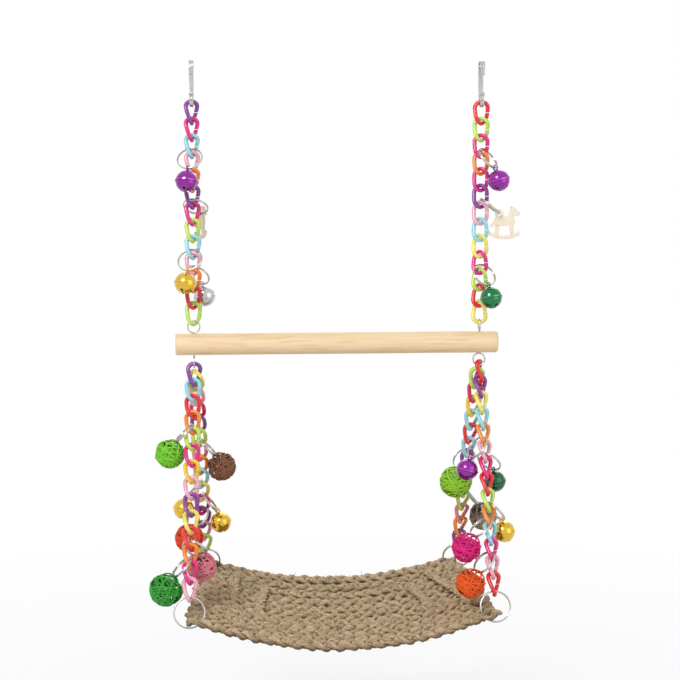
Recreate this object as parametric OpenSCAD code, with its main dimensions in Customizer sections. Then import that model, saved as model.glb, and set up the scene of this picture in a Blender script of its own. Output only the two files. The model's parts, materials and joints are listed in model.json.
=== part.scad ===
// Hanging swing for pet birds: a wooden perch and a sagging plaited mat, hung on chains of
// twisted plastic links from two steel snap clips, with bells, vine balls and wooden charms.
// X runs along the perch to the right, Y away from the viewer and Z up. The origin is midway
// between the clips, at the height where a cage bar seats under their crowns.

/* [Chain] */
// Length of one link
link_length = 24.1; // [21:0.1:27]
// Width of one link
link_width = 16; // [15.5:0.1:18]
// Thickness of the link's round stock
link_stock = 4; // [3.4:0.1:4.1]
// Opening in one side of the link
link_opening = 1.2; // [0.6:0.1:2.5]
// Turn of the link's foot against its head, in degrees
link_twist = 75; // [72:1:85]
// Links in each upper chain
upper_links = 13; // [12:1:16]
// Links in each lower chain
lower_links = 13; // [12:1:16]

/* [Perch] */
// Thickness of the dowel
perch_diameter = 20; // [14:0.5:26]
// Easing of the dowel's ends
perch_ease = 1.2; // [0.4:0.1:2.5]
// Distance between the two eye wires
eye_spacing = 266; // [250:1:270]
// Distance from an eye wire to the dowel's end
perch_overhang = 17; // [10:1:35]
// Thickness of the eye wire
eye_wire = 1.4; // [1:0.1:1.8]
// Outside width of an eye wire's loop
eye_loop = 12.6; // [11.8:0.1:15]

/* [Clips] */
// Height of a clip
clip_height = 43; // [41:0.5:50]
// Inside radius of the crown, where a cage bar seats
clip_crown_r = 6.5; // [5.5:0.1:8]
// Thickness of the clip's strip
clip_strip = 1.6; // [1.2:0.1:2]
// Width of the strip at the crown
clip_width = 4.4; // [3.9:0.1:5.4]
// Width of the strip at the foot
clip_foot_width = 3.6; // [3.2:0.1:3.9]

/* [Rings] */
// Outside diameter of the split rings that carry the bells, balls and charms
ring_diameter = 24; // [22:0.1:25]
// Thickness of a small ring's wire
ring_wire = 1.2; // [0.8:0.05:1.3]
// Outside diameter of the split rings at the mat's corners
corner_ring = 29; // [27:0.1:31]
// Thickness of a corner ring's wire
corner_wire = 1.5; // [1.2:0.1:1.8]

/* [Bells] */
// Diameter of a bell
bell_diameter = 20; // [16:0.1:21]
// Wall of a bell
bell_wall = 0.6; // [0.4:0.05:0.9]
// Width of the cross slits
bell_slit = 1.4; // [1:0.1:2]
// Diameter of the pellet inside
pellet_diameter = 5; // [4:0.1:6]

/* [Vine balls] */
// Diameter of the small vine balls
small_ball = 29; // [26:0.1:30]
// Diameter of the large vine balls
large_ball = 32; // [31:0.1:33]
// Width of a vine strand
strand_width = 1.9; // [1.4:0.1:2.2]
// Thickness of a vine strand
strand_depth = 1.4; // [1.1:0.1:1.6]

/* [Charms] */
// Width of a wooden charm
charm_width = 28; // [22:0.5:30]
// Thickness of a wooden charm
charm_depth = 3; // [2:0.1:4]

/* [Mat] */
// Width of the mat between its front corner rings
mat_front_span = 276; // [268:1:284]
// Width of the mat between its back corner rings
mat_back_span = 250; // [244:1:262]
// Depth of the mat
mat_depth = 186; // [150:1:196]
// Thickness of the mat
mat_thickness = 7; // [5:0.1:8]
// Sag of the front edge
front_sag = 24; // [10:0.5:30]
// Sag of the back edge
back_sag = 16; // [8:0.5:26]
// Extra sag of the middle
middle_sag = 7; // [0:0.5:14]

/* [Hidden] */

// Fits and running clearances
link_play = 0.75;
hung_play = 0.35;
pin_play = 0.05;
gate_play = 0.3;
overrun = 1;

// Facets of the swept links and roundness of the turned parts
link_sides = 6;
bend_steps = 6;
round_fn = 64;
wire_fn = 24;

// Paint of the plastic links, the wood and the metals
purple = "#8a3c9c";
hot_pink = "#e8308a";
magenta = "#e0248a";
crimson = "#d81e5b";
pale_pink = "#f7b6c4";
salmon = "#f08a98";
light_blue = "#9eddea";
lime = "#c8e860";
yellow = "#f8ea70";
golden = "#f8d040";
orange = "#f89028";
red = "#e83038";
pine = "#f3ca9c";
pale_wood = "#f3e3c8";
nickel = "#c4c4c8";
seagrass = "#a98f68";

upper_left_paint = [purple, hot_pink, light_blue, pale_pink, orange, purple, hot_pink, lime,
    light_blue, pale_pink, orange, red, lime];
upper_right_paint = [red, lime, hot_pink, orange, magenta, purple, pale_pink, light_blue,
    yellow, hot_pink, lime, red, yellow];
front_left_paint = [light_blue, red, orange, lime, hot_pink, golden, pale_pink, purple,
    yellow, red, orange, hot_pink, pale_pink];
back_left_paint = [yellow, pale_pink, crimson, purple, lime, salmon, orange, light_blue,
    yellow, hot_pink, purple, pale_pink, lime];
front_right_paint = [purple, yellow, light_blue, orange, pale_pink, hot_pink, red, lime,
    orange, light_blue, hot_pink, pale_pink, red];
back_right_paint = [lime, crimson, golden, light_blue, red, light_blue, purple, yellow,
    pale_pink, lime, salmon, orange, purple];

// A link hangs from the middle of its head's stock; the foot's stock is two drops lower
link_r = (link_width - link_stock) / 2;
link_drop = (link_length - link_stock) / 2;
link_straight = link_drop - link_r;
link_pitch = 2 * link_drop - link_stock - link_play;
eye_x = eye_spacing / 2;
perch_length = eye_spacing + 2 * perch_overhang;
loop_r = (eye_loop - eye_wire) / 2;

// Heights from the clips down to the common links
clip_foot_z = clip_strip - clip_height;
crown_bow = link_r - sqrt(pow(link_r, 2) - pow((clip_foot_width + clip_strip) / 2, 2));
head_z = clip_foot_z + clip_strip + crown_bow + 1.5 * link_play + link_stock / 2;
upper_foot_z = head_z - 2 * link_drop - (upper_links - 1) * link_pitch;
upper_loop_z = upper_foot_z + link_stock / 2 + link_play + eye_wire / 2 - loop_r;
perch_z = upper_loop_z - loop_r - eye_wire / 2 - perch_diameter / 2;
lower_loop_z = perch_z - perch_diameter / 2 - eye_wire / 2 - loop_r;
common_z = lower_loop_z - loop_r + eye_wire / 2 + 1.5 * link_play + link_stock / 2;

// The lower chains' first links share the common link: the front one sits in the bend of its
// foot and the back one rides above it. Their heads' places are shares of the link's stock,
// from the common link's middle, and their turns are in degrees.
left_front_share = [-0.24, -0.13, -1.16];
left_back_share = [0.32, 0.15, 0.63];
right_front_share = [0.23, -0.08, -1.1];
right_back_share = [-0.27, 0.29, 0.72];
left_front_turn = -22;
left_back_turn = -52;
right_front_turn = 11;
right_back_turn = -16;

// The chains that spread to the mat's corners
corner_r = (corner_ring - corner_wire) / 2;
chain_run = 2 * link_drop + (lower_links - 1) * link_pitch;
ring_rise = link_stock / 2 + hung_play + corner_wire / 2;
corner_run = chain_run - ring_rise + 2 * corner_r;
corner_inset = mat_thickness * 1.2;
corner_y = mat_depth / 2 - corner_inset;

function turned_x(p, a) = [p[0], p[1] * cos(a) - p[2] * sin(a), p[1] * sin(a) + p[2] * cos(a)];
function turned_y(p, a) = [p[0] * cos(a) + p[2] * sin(a), p[1], p[2] * cos(a) - p[0] * sin(a)];
function turned_z(p, a) = [p[0] * cos(a) - p[1] * sin(a), p[0] * sin(a) + p[1] * cos(a), p[2]];
function mix(a, b, s) = a + (b - a) * s;

// A chain is its head's place, its two leans, the turn of its first link, the turn from link
// to link and its number of links
upper_left = [[-eye_x, 0, head_z], 0, 0, 12, -2.5, upper_links];
upper_right = [[eye_x, 0, head_z], 0, 0, -25, -4, upper_links];
common_left = [[-eye_x, 0, common_z], 0, 0, 0, 0, 1];
common_right = [[eye_x, 0, common_z], 0, 0, 50, 0, 1];
function seat(side, share) = [side * eye_x, 0, common_z - link_drop] + link_stock * share;
lean = asin(corner_y / corner_run);
front_splay = asin((mat_front_span / 2 - eye_x) / corner_run);
back_splay = asin((eye_x - mat_back_span / 2) / corner_run);
front_left = [seat(-1, left_front_share), -lean, front_splay, left_front_turn, 2, lower_links];
back_left = [seat(-1, left_back_share), lean, -back_splay, left_back_turn, 3.5, lower_links];
front_right = [seat(1, right_front_share), -lean, -front_splay, right_front_turn, 0,
    lower_links];
back_right = [seat(1, right_back_share), lean, back_splay, right_back_turn, 1.5, lower_links];

function on_chain(c, p) = c[0] + turned_y(turned_x(p, c[1]), c[2]);
function mid_turn(c, i) = c[3] + i * c[4] + link_twist / 2;

// Centre line of an open link before its twist, from one side of the opening round to the other
function bend(from, up) = [for (i = [0:bend_steps]) let (a = 180 * i / bend_steps)
    [from * link_r * cos(a), 0, up * (link_straight + link_r * sin(a))]];
link_line = concat([[link_r, 0, -link_opening / 2]], bend(1, -1), [[-link_r, 0, 0]],
    bend(-1, 1), [[link_r, 0, link_opening / 2]]);
function twisted(points) = [for (p = points)
    turned_z(p, link_twist * (0.5 - p[2] / (2 * link_drop)))];
function unit(v) = v / norm(v);
function heading(points, i) = unit(points[min(i + 1, len(points) - 1)] - points[max(i - 1, 0)]);
function outward(p, t) = let (o = unit(p)) unit(o - t * (o * t));
function ring_of(p, t, r) = let (n = outward(p, t), b = cross(t, n))
    [for (k = [0:link_sides - 1]) p + r * (n * cos(360 * k / link_sides)
        + b * sin(360 * k / link_sides))];

// Sweep of the link's stock along its centre line, closed with a flat at each end
module swept_link() {
    line = twisted(link_line);
    last = len(line) - 1;
    s = link_sides;
    corners = [for (i = [0:last]) each ring_of(line[i], heading(line, i), link_stock / 2)];
    sides = [for (i = [0:last - 1], k = [0:s - 1])
        let (a = i * s + k, b = i * s + (k + 1) % s) each [[a, a + s, b], [b, a + s, b + s]]];
    caps = [[for (k = [0:s - 1]) k], [for (k = [0:s - 1]) last * s + s - 1 - k]];
    polyhedron(corners, concat(sides, caps));
}

// Links first to last of a chain, in their paints
module links(c, first, last, paint) {
    translate(c[0]) rotate([c[1], c[2], 0]) {
        for (i = [first:last]) color(paint[i % len(paint)])
            translate([0, 0, -link_drop - i * link_pitch])
                rotate([0, 0, c[3] + i * c[4]]) swept_link();
    }
}

module first_link(c, paint) { links(c, 0, 0, paint); }
module chain(c, paint) { links(c, 0, c[5] - 1, paint); }
module chain_below(c, paint) { links(c, 1, c[5] - 1, paint); }

// A flat bar with round ends between two points of a profile
module bar(p, q, w) {
    reach = q - p;
    translate(p) rotate(atan2(reach[1], reach[0])) {
        translate([0, -w / 2]) square([norm(reach), w]);
        for (end = [0, norm(reach)]) translate([end, 0]) circle(d = w, $fn = wire_fn);
    }
}

// Snap clip. Its profile is drawn in the Y-Z plane: a round crown over the cage bar, a back leg
// that draws in to the eye below, and two cheeks in front that hold the gate's pin.
clip_eye_r = link_stock * 0.9;
clip_eye_z = clip_foot_z + clip_strip + clip_eye_r;
clip_leg_y = clip_crown_r + clip_strip / 2;
clip_side_y = clip_eye_r + clip_strip / 2;
clip_waist_z = mix(-clip_crown_r, clip_eye_z, 0.58);
gate_width = clip_foot_width / 2;
gate_strip = clip_strip * 0.7;
knuckle_r = clip_strip;
gate_pin_r = clip_strip * 0.35;
gate_y = -clip_side_y - clip_strip * 0.3;
gate_z = clip_eye_z + clip_eye_r * 2;
gate_tip_y = -clip_leg_y + clip_strip / 2 + gate_play + gate_strip / 2;
// The gate's tip ends below the bar that fills the crown, and the nose ends level with the tip
clip_nose = sqrt(pow(clip_crown_r + gate_play + gate_strip / 2, 2) - pow(gate_tip_y, 2));
latch_eye = clip_strip * 1.5;

module clip_profile() {
    difference() {
        translate([0, -clip_crown_r]) circle(r = clip_crown_r + clip_strip, $fn = round_fn);
        translate([0, -clip_crown_r]) circle(r = clip_crown_r, $fn = round_fn);
        translate([-clip_height / 2, -clip_crown_r - clip_height]) square(clip_height);
    }
    bar([-clip_leg_y, -clip_crown_r], [-clip_leg_y, -clip_crown_r - clip_nose], clip_strip);
    bar([clip_leg_y, -clip_crown_r], [clip_leg_y, clip_waist_z], clip_strip);
    bar([clip_leg_y, clip_waist_z], [clip_side_y, clip_eye_z], clip_strip);
    bar([gate_y, gate_z], [-clip_side_y, clip_eye_z], clip_strip);
    translate([gate_y, gate_z]) circle(r = knuckle_r, $fn = round_fn);
    difference() {
        translate([0, clip_eye_z]) circle(r = clip_eye_r + clip_strip, $fn = round_fn);
        translate([0, clip_eye_z]) circle(r = clip_eye_r, $fn = round_fn);
        translate([-clip_height / 2, clip_eye_z]) square(clip_height);
    }
}

module across(w) { rotate([90, 0, 90]) linear_extrude(w, center = true) children(); }
module gate_axle(r, w) {
    translate([0, gate_y, gate_z]) rotate([0, 90, 0]) cylinder(h = w, r = r, center = true, $fn = wire_fn);
}

module clip(side) {
    slot = gate_width + 2 * gate_play;
    color(nickel) translate([side * eye_x, 0, 0]) difference() {
        intersection() {
            across(clip_width + overrun) clip_profile();
            rotate([90, 0, 0]) linear_extrude(clip_height, center = true) polygon([
                [-clip_width / 2, clip_strip + overrun], [clip_width / 2, clip_strip + overrun],
                [clip_foot_width / 2, clip_foot_z], [clip_foot_width / 2, clip_foot_z - overrun],
                [-clip_foot_width / 2, clip_foot_z - overrun], [-clip_foot_width / 2, clip_foot_z]]);
        }
        gate_axle(gate_pin_r + pin_play, clip_width + overrun);
        across(slot) {
            translate([gate_y, gate_z]) circle(r = knuckle_r + gate_play, $fn = round_fn);
            bar([gate_y, gate_z], [gate_tip_y, gate_z + knuckle_r * 2], gate_strip + 2 * gate_play);
        }
        translate([0, 0, mix(clip_eye_z, gate_z, 0.35)])
            cube([gate_width, clip_height, clip_eye_r * 0.9], center = true);
        translate([0, 0, -clip_crown_r / 2]) rotate([90, 0, 0])
            cylinder(h = clip_height, d = latch_eye, center = true, $fn = wire_fn);
    }
}

module gate(side) {
    color(nickel) translate([side * eye_x, 0, 0]) difference() {
        across(gate_width) {
            translate([gate_y, gate_z]) circle(r = knuckle_r, $fn = round_fn);
            bar([gate_y, gate_z], [gate_tip_y, -clip_crown_r - clip_nose], gate_strip);
        }
        gate_axle(gate_pin_r + pin_play, clip_width);
    }
}

module gate_pin(side) {
    color(nickel) translate([side * eye_x, 0, 0]) gate_axle(gate_pin_r, clip_width);
}

// Dowel with eased ends, drilled through for the eye wires
module perch() {
    color(pine) difference() {
        translate([0, 0, perch_z]) rotate([0, 90, 0]) {
            cylinder(h = perch_length - 2 * perch_ease, d = perch_diameter, center = true,
                $fn = round_fn);
            for (end = [0, 180]) rotate([0, end, 0]) translate([0, 0, perch_length / 2 - perch_ease])
                cylinder(h = perch_ease, d1 = perch_diameter, d2 = perch_diameter - 2 * perch_ease,
                    $fn = round_fn);
        }
        for (side = [-1, 1]) translate([side * eye_x, 0, perch_z])
            cylinder(h = perch_diameter + 2 * overrun, r = eye_wire / 2 + pin_play, center = true,
                $fn = wire_fn);
    }
}

// One wire through the perch, bent into a loop above and a loop below at right angles to it
module eye_wire_loop(z, turn) {
    translate([0, 0, z]) rotate([90, 0, turn]) rotate_extrude($fn = round_fn)
        translate([loop_r, 0]) circle(d = eye_wire, $fn = wire_fn);
}
module eye_wire_at(side, upper_turn) {
    color(nickel) translate([side * eye_x, 0, 0]) {
        eye_wire_loop(upper_loop_z, upper_turn);
        eye_wire_loop(lower_loop_z, upper_turn + 90);
        translate([0, 0, lower_loop_z + loop_r])
            cylinder(h = upper_loop_z - lower_loop_z - 2 * loop_r, d = eye_wire, $fn = wire_fn);
    }
}

// A split ring is a wire of two turns
module split_ring(r, wire) {
    rotate_extrude($fn = round_fn) for (turn = [-1, 1])
        translate([r, turn * wire * 0.45]) circle(d = wire, $fn = wire_fn);
}

// What hangs: its chain and link, the side of the link that its ring goes round, the ring's
// turn and tilt, and how far the piece leans out where it rests on the chain, in degrees
ring_r = (ring_diameter - ring_wire) / 2;
ring_seat = link_drop - 1.5 * link_stock - 2 * hung_play - ring_wire;
function item_turn(it) = mid_turn(it[0], it[1]) + (it[2] < 0 ? 180 : 0) + it[3];
function ring_hole(it) = on_chain(it[0], [0, 0, -link_drop - it[1] * link_pitch - ring_seat]);
function ring_reach(it, run) = ring_hole(it)
    + run * turned_z([cos(it[4]), 0, -sin(it[4])], item_turn(it));
function hang_point(it) = ring_reach(it, 2 * ring_r);
module small_ring(it) {
    translate(ring_reach(it, ring_r)) rotate([0, it[4], item_turn(it)]) split_ring(ring_r, ring_wire);
}
module hung(it) { translate(hang_point(it)) rotate([0, -it[5], item_turn(it)]) children(); }

upper_purple_left = [upper_left, 2, -1, 30, 50, 18];
charm_place_left = [upper_left, 5, 1, 35, 38, 0];
upper_gold_left = [upper_left, 8, -1, 38, 52, 19];
upper_silver_left = [upper_left, 9, 1, 30, 50, 18];
upper_purple_right = [upper_right, 2, 1, -38, 50, 18];
charm_place_right = [upper_right, 5, 1, 8, 38, 0];
upper_green_right = [upper_right, 9, 1, -38, 52, 18];
light_green_left = [front_left, 2, -1, -20, 45, 24];
brown_left = [back_left, 4, 1, 0, 45, 24];
lower_gold_left = [back_left, 7, -1, -20, 50, 14];
outer_gold_left = [back_left, 8, 1, -14, 50, 14];
red_left = [back_left, 9, -1, 30, 50, 24];
salmon_left = [front_left, 9, 1, 28, 50, 24];
mid_green_left = [front_left, 10, -1, -25, 45, 28];
lower_purple_right = [front_right, 3, -1, -25, 50, 16];
lower_green_right = [front_right, 4, 1, 0, 50, 14];
lime_right = [back_right, 5, -1, 16, 50, 24];
lower_gold_right = [front_right, 7, 1, -25, 50, 14];
taupe_right = [back_right, 8, 1, -25, 50, 24];
pink_right = [front_right, 8, -1, -28, 38, 30];
orange_right = [front_right, 10, -1, -25, 46, 35];

module upper_rings_left() {
    color(nickel) for (it = [upper_purple_left, charm_place_left, upper_gold_left,
        upper_silver_left]) small_ring(it);
}
module upper_rings_right() {
    color(nickel) for (it = [upper_purple_right, charm_place_right, upper_green_right])
        small_ring(it);
}
module lower_rings_left() {
    color(nickel) for (it = [light_green_left, brown_left, lower_gold_left, outer_gold_left,
        red_left, salmon_left, mid_green_left]) small_ring(it);
}
module lower_rings_right() {
    color(nickel) for (it = [lower_purple_right, lower_green_right, lime_right,
        lower_gold_right, taupe_right, pink_right, orange_right]) small_ring(it);
}

// Hollow bell of two pressed cups, seamed round the middle, slit crosswise below
bell_wire = 1.2;
bell_loop_r = ring_wire + hung_play + bell_wire / 2;
bell_z = -bell_loop_r - bell_diameter / 2;
seam_lip = bell_wall * 1.2;
seam_height = bell_wall * 2;
slit_reach = bell_diameter * 0.3;
module bell(it, paint) {
    color(paint) hung(it) {
        translate([0, 0, bell_z]) difference() {
            union() {
                sphere(d = bell_diameter, $fn = round_fn);
                cylinder(h = seam_height, d = bell_diameter + 2 * seam_lip, center = true,
                    $fn = round_fn);
            }
            sphere(d = bell_diameter - 2 * bell_wall, $fn = round_fn);
            for (turn = [0, 90]) rotate([0, 0, turn]) translate([0, 0, -bell_diameter / 2]) {
                cube([2 * slit_reach, bell_slit, bell_diameter * 0.7], center = true);
                for (end = [-1, 1]) translate([end * slit_reach, 0, 0])
                    cylinder(h = bell_diameter * 0.7, r = bell_slit, center = true, $fn = wire_fn);
            }
        }
        rotate([90, 0, 0]) rotate_extrude($fn = round_fn) translate([bell_loop_r, 0])
            circle(d = bell_wire, $fn = wire_fn);
    }
}
module pellet(it) {
    color(nickel) hung(it)
        translate([0, 0, bell_z - bell_diameter / 2 + bell_wall + pellet_diameter / 2 + hung_play])
            sphere(d = pellet_diameter, $fn = round_fn);
}

// Hollow ball of split vine. One hoop passes over the split ring; the others keep clear of it.
// Each hoop is its tilt, its turn and its share of the ball's diameter.
hoop_shares = [[0, 0, 0.92], [34, 20, 0.98], [34, 140, 0.94], [34, 260, 0.9],
    [54, 80, 0.96], [54, 200, 0.88], [54, 320, 0.86]];
module vine_hoop(d) {
    rotate_extrude($fn = round_fn) translate([d / 2 - strand_depth, -strand_width / 2])
        square([strand_depth, strand_width]);
}
module vine_ball(it, d, paint) {
    color(paint) hung(it) translate([0, 0, ring_wire + hung_play + strand_depth - d / 2]) {
        rotate([90, 0, 0]) vine_hoop(d);
        for (h = hoop_shares) rotate([0, 0, h[1]]) rotate([h[0], 0, 0]) vine_hoop(d * h[2]);
    }
}

// Rocking horse sawn from thin board and drilled through the saddle for its ring. Its points
// and widths are shares of the charm's width.
saddle_hole = ring_wire + hung_play + 0.5 * strand_depth;
horse_bar_shares = [[[-0.2, -0.25], [0.2, -0.25], 0.3], [[-0.13, -0.22], [-0.17, 0.01], 0.27],
    [[0.18, -0.2], [0.3, 0.1], 0.2], [[0.28, 0.12], [0.44, 0.0], 0.15],
    [[0.26, 0.12], [0.235, 0.2], 0.09], [[-0.25, -0.2], [-0.42, -0.4], 0.09],
    [[-0.22, -0.3], [-0.27, -0.76], 0.12], [[0.22, -0.3], [0.27, -0.76], 0.12]];
hole_off_share = 0.17;
rocker_centre_share = 0.15;
rocker_outer_share = 1;
rocker_inner_share = 0.88;
module horse_outline() {
    w = charm_width;
    for (b = horse_bar_shares) bar(b[0] * w, b[1] * w, b[2] * w);
    intersection() {
        translate([0, rocker_centre_share * w]) difference() {
            circle(r = rocker_outer_share * w, $fn = 2 * round_fn);
            circle(r = rocker_inner_share * w, $fn = 2 * round_fn);
        }
        translate([-w / 2, -w]) square([w, w / 2]);
    }
}
module charm(it) {
    color(pale_wood) hung(it) rotate([90, 0, 0]) linear_extrude(charm_depth, center = true)
        difference() {
            translate([hole_off_share * charm_width, 0]) horse_outline();
            circle(r = saddle_hole, $fn = wire_fn);
        }
}

// Rings at the mat's corners. Their plane stands across the foot of each chain's last link.
corner_chains = [front_left, back_left, front_right, back_right];
module at_corner(k) {
    c = corner_chains[k];
    translate(c[0]) rotate([c[1], c[2], 0]) translate([0, 0, -chain_run + ring_rise - corner_r])
        rotate([90, 0, 0]) children();
}
module corner_rings(first) {
    color(nickel) for (k = [first, first + 1]) at_corner(k) split_ring(corner_r, corner_wire);
}

// Mat of cords laid side by side from end to end, sagging between the corner rings. Rows run
// front to back and alternate between the crown of a cord and the groove beside it.
mat_cords = 17;
mat_steps = 12;
mat_overhang = corner_r * 0.5;
mat_sway = 1.6;
mat_lift = corner_wire / 2 + mat_sway + mat_thickness / 2;
groove = mat_thickness * 0.22;
sag_span_share = 0.88;
ring_room = corner_wire + mat_sway + hung_play;
front_hold = on_chain(front_left, [0, 0, -corner_run]);
back_hold = on_chain(back_left, [0, 0, -corner_run]);
mat_rows = 2 * mat_cords;
function mat_y(j) = mix(-mat_depth / 2, mat_depth / 2, j / mat_rows);
function mat_back_share(y) = (y - front_hold[1]) / (back_hold[1] - front_hold[1]);
function mat_half(y) = mat_overhang - mix(front_hold[0], back_hold[0], mat_back_share(y));
function mat_sag(y) = mix(front_sag, back_sag, y / mat_depth + 0.5)
    + middle_sag * (1 - pow(2 * y / mat_depth, 2));
function mat_mid_z(y, t) = mix(front_hold[2], back_hold[2], mat_back_share(y)) + mat_lift
    - mat_sag(y) * (1 - min(1, pow(t / sag_span_share, 2)));
function mat_point(i, j, up) = let (y = mat_y(j), t = 2 * i / mat_steps - 1,
    edge = j == 0 || j == mat_rows ? 0.5 : 0)
    [t * mat_half(y), y, mat_mid_z(y, t)
        + up * (mat_thickness / 2 - (j % 2 == 0 ? groove : 0) - edge * mat_thickness / 4)];
module mat_sheet() {
    n = mat_steps + 1;
    m = mat_rows + 1;
    top = [for (j = [0:mat_rows], i = [0:mat_steps]) mat_point(i, j, 1)];
    under = [for (j = [0:mat_rows], i = [0:mat_steps]) mat_point(i, j, -1)];
    cells = [for (j = [0:mat_rows - 1], i = [0:mat_steps - 1]) let (a = j * n + i)
        each [[a, a + n, a + n + 1], [a, a + n + 1, a + 1]]];
    rim = concat([for (i = [0:mat_steps - 1]) [i, i + 1]],
        [for (j = [0:mat_rows - 1]) [j * n + mat_steps, (j + 1) * n + mat_steps]],
        [for (i = [0:mat_steps - 1]) [mat_rows * n + mat_steps - i, mat_rows * n + mat_steps - i - 1]],
        [for (j = [0:mat_rows - 1]) [(mat_rows - j) * n, (mat_rows - j - 1) * n]]);
    sides = [for (e = rim) each [[e[0], e[1], e[1] + n * m], [e[0], e[1] + n * m, e[0] + n * m]]];
    polyhedron(concat(top, under), concat(cells,
        [for (f = cells) [f[2] + n * m, f[1] + n * m, f[0] + n * m]], sides));
}
module woven_mat() {
    color(seagrass) difference() {
        mat_sheet();
        for (k = [0:3]) at_corner(k) rotate_extrude($fn = round_fn) translate([corner_r, 0])
            circle(r = ring_room, $fn = wire_fn);
    }
}

clip(-1);  // clip_left
clip(1);  // clip_right
gate(-1);  // gate_left
gate(1);  // gate_right
gate_pin(-1);  // gate_pin_left
gate_pin(1);  // gate_pin_right
first_link(upper_left, upper_left_paint);  // first_link_left
first_link(upper_right, upper_right_paint);  // first_link_right
chain_below(upper_left, upper_left_paint);  // upper_chain_left
chain_below(upper_right, upper_right_paint);  // upper_chain_right
upper_rings_left();
upper_rings_right();
perch();
eye_wire_at(-1, 0);  // eye_wire_left
eye_wire_at(1, 90);  // eye_wire_right
first_link(common_left, [purple]);  // common_link_left
first_link(common_right, [red]);  // common_link_right
chain(front_left, front_left_paint);  // front_chain_left
chain(back_left, back_left_paint);  // back_chain_left
chain(front_right, front_right_paint);  // front_chain_right
chain(back_right, back_right_paint);  // back_chain_right
lower_rings_left();
lower_rings_right();
corner_rings(0);  // corner_rings_left
corner_rings(2);  // corner_rings_right
woven_mat();
bell(upper_purple_left, "#8a1a9a");  // upper_purple_bell_left
bell(upper_gold_left, "#e8b830");  // upper_gold_bell_left
bell(upper_silver_left, "#d0d0d4");  // upper_silver_bell_left
bell(upper_purple_right, "#8a1a9a");  // upper_purple_bell_right
bell(upper_green_right, "#0a7a48");  // upper_green_bell_right
bell(lower_gold_left, "#e8b830");  // lower_gold_bell_left
bell(outer_gold_left, "#e8b830");  // outer_gold_bell_left
bell(lower_purple_right, "#8a1a9a");  // lower_purple_bell_right
bell(lower_green_right, "#0a5a38");  // lower_green_bell_right
bell(lower_gold_right, "#e8b830");  // lower_gold_bell_right
pellet(upper_purple_left);  // upper_purple_pellet_left
pellet(upper_gold_left);  // upper_gold_pellet_left
pellet(upper_silver_left);  // upper_silver_pellet_left
pellet(upper_purple_right);  // upper_purple_pellet_right
pellet(upper_green_right);  // upper_green_pellet_right
pellet(lower_gold_left);  // lower_gold_pellet_left
pellet(outer_gold_left);  // outer_gold_pellet_left
pellet(lower_purple_right);  // lower_purple_pellet_right
pellet(lower_green_right);  // lower_green_pellet_right
pellet(lower_gold_right);  // lower_gold_pellet_right
vine_ball(light_green_left, small_ball, "#7cc832");  // light_green_ball_left
vine_ball(brown_left, small_ball, "#7a4a34");  // brown_ball_left
vine_ball(red_left, small_ball, "#f0501e");  // red_ball_left
vine_ball(salmon_left, small_ball, "#f08a98");  // salmon_ball_left
vine_ball(mid_green_left, large_ball, "#3ca83c");  // mid_green_ball_left
vine_ball(lime_right, large_ball, "#a8d840");  // lime_ball_right
vine_ball(taupe_right, small_ball, "#8c7a6a");  // taupe_ball_right
vine_ball(pink_right, small_ball, "#e0207a");  // pink_ball_right
vine_ball(orange_right, small_ball, "#f87820");  // orange_ball_right
charm(charm_place_left);  // charm_left
charm(charm_place_right);  // charm_right
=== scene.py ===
"""Dresses the hanging bird swing: glossy twisted links, nickel clips and rings, a pine perch,
lacquered bells, balls of dyed vine, pale wooden charms and a mat of plaited seagrass.

Every place is in metres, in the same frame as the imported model. Pivots and hanging points are
read from its joints, and sizes from its boxes where it states them.
"""

import json
import logging
import math
import random
from contextlib import contextmanager
from dataclasses import dataclass, field
from enum import Enum
from typing import Callable, Iterable, Iterator, Mapping, Sequence

import bmesh
import bpy
from mathutils import Matrix, Vector


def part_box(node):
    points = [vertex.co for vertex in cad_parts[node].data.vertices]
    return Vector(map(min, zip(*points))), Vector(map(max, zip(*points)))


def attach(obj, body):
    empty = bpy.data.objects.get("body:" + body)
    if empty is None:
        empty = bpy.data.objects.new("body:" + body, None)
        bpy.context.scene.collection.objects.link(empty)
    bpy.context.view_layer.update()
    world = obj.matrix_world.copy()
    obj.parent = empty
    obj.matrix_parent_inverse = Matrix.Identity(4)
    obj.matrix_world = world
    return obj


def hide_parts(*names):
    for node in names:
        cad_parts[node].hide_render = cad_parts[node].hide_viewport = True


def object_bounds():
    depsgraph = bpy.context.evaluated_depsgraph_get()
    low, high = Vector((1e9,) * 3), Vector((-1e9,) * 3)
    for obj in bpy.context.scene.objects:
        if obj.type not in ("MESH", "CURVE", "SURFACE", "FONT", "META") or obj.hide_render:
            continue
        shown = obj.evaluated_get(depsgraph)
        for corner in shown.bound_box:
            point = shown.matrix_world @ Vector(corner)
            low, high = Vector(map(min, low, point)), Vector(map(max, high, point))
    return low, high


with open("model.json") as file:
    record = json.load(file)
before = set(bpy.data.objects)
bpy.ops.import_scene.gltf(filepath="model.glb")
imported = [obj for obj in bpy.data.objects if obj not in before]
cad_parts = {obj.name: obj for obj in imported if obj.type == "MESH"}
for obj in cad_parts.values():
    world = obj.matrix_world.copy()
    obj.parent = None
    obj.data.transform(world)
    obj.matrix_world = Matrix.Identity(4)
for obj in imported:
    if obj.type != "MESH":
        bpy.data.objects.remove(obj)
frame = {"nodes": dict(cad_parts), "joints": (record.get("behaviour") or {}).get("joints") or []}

logging.basicConfig(level=logging.INFO, format="%(message)s")
log = logging.getLogger("bird_swing")

CAD_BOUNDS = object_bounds()
MM = 0.001

Piece = bpy.types.Object
Socket = bpy.types.NodeSocket


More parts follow.
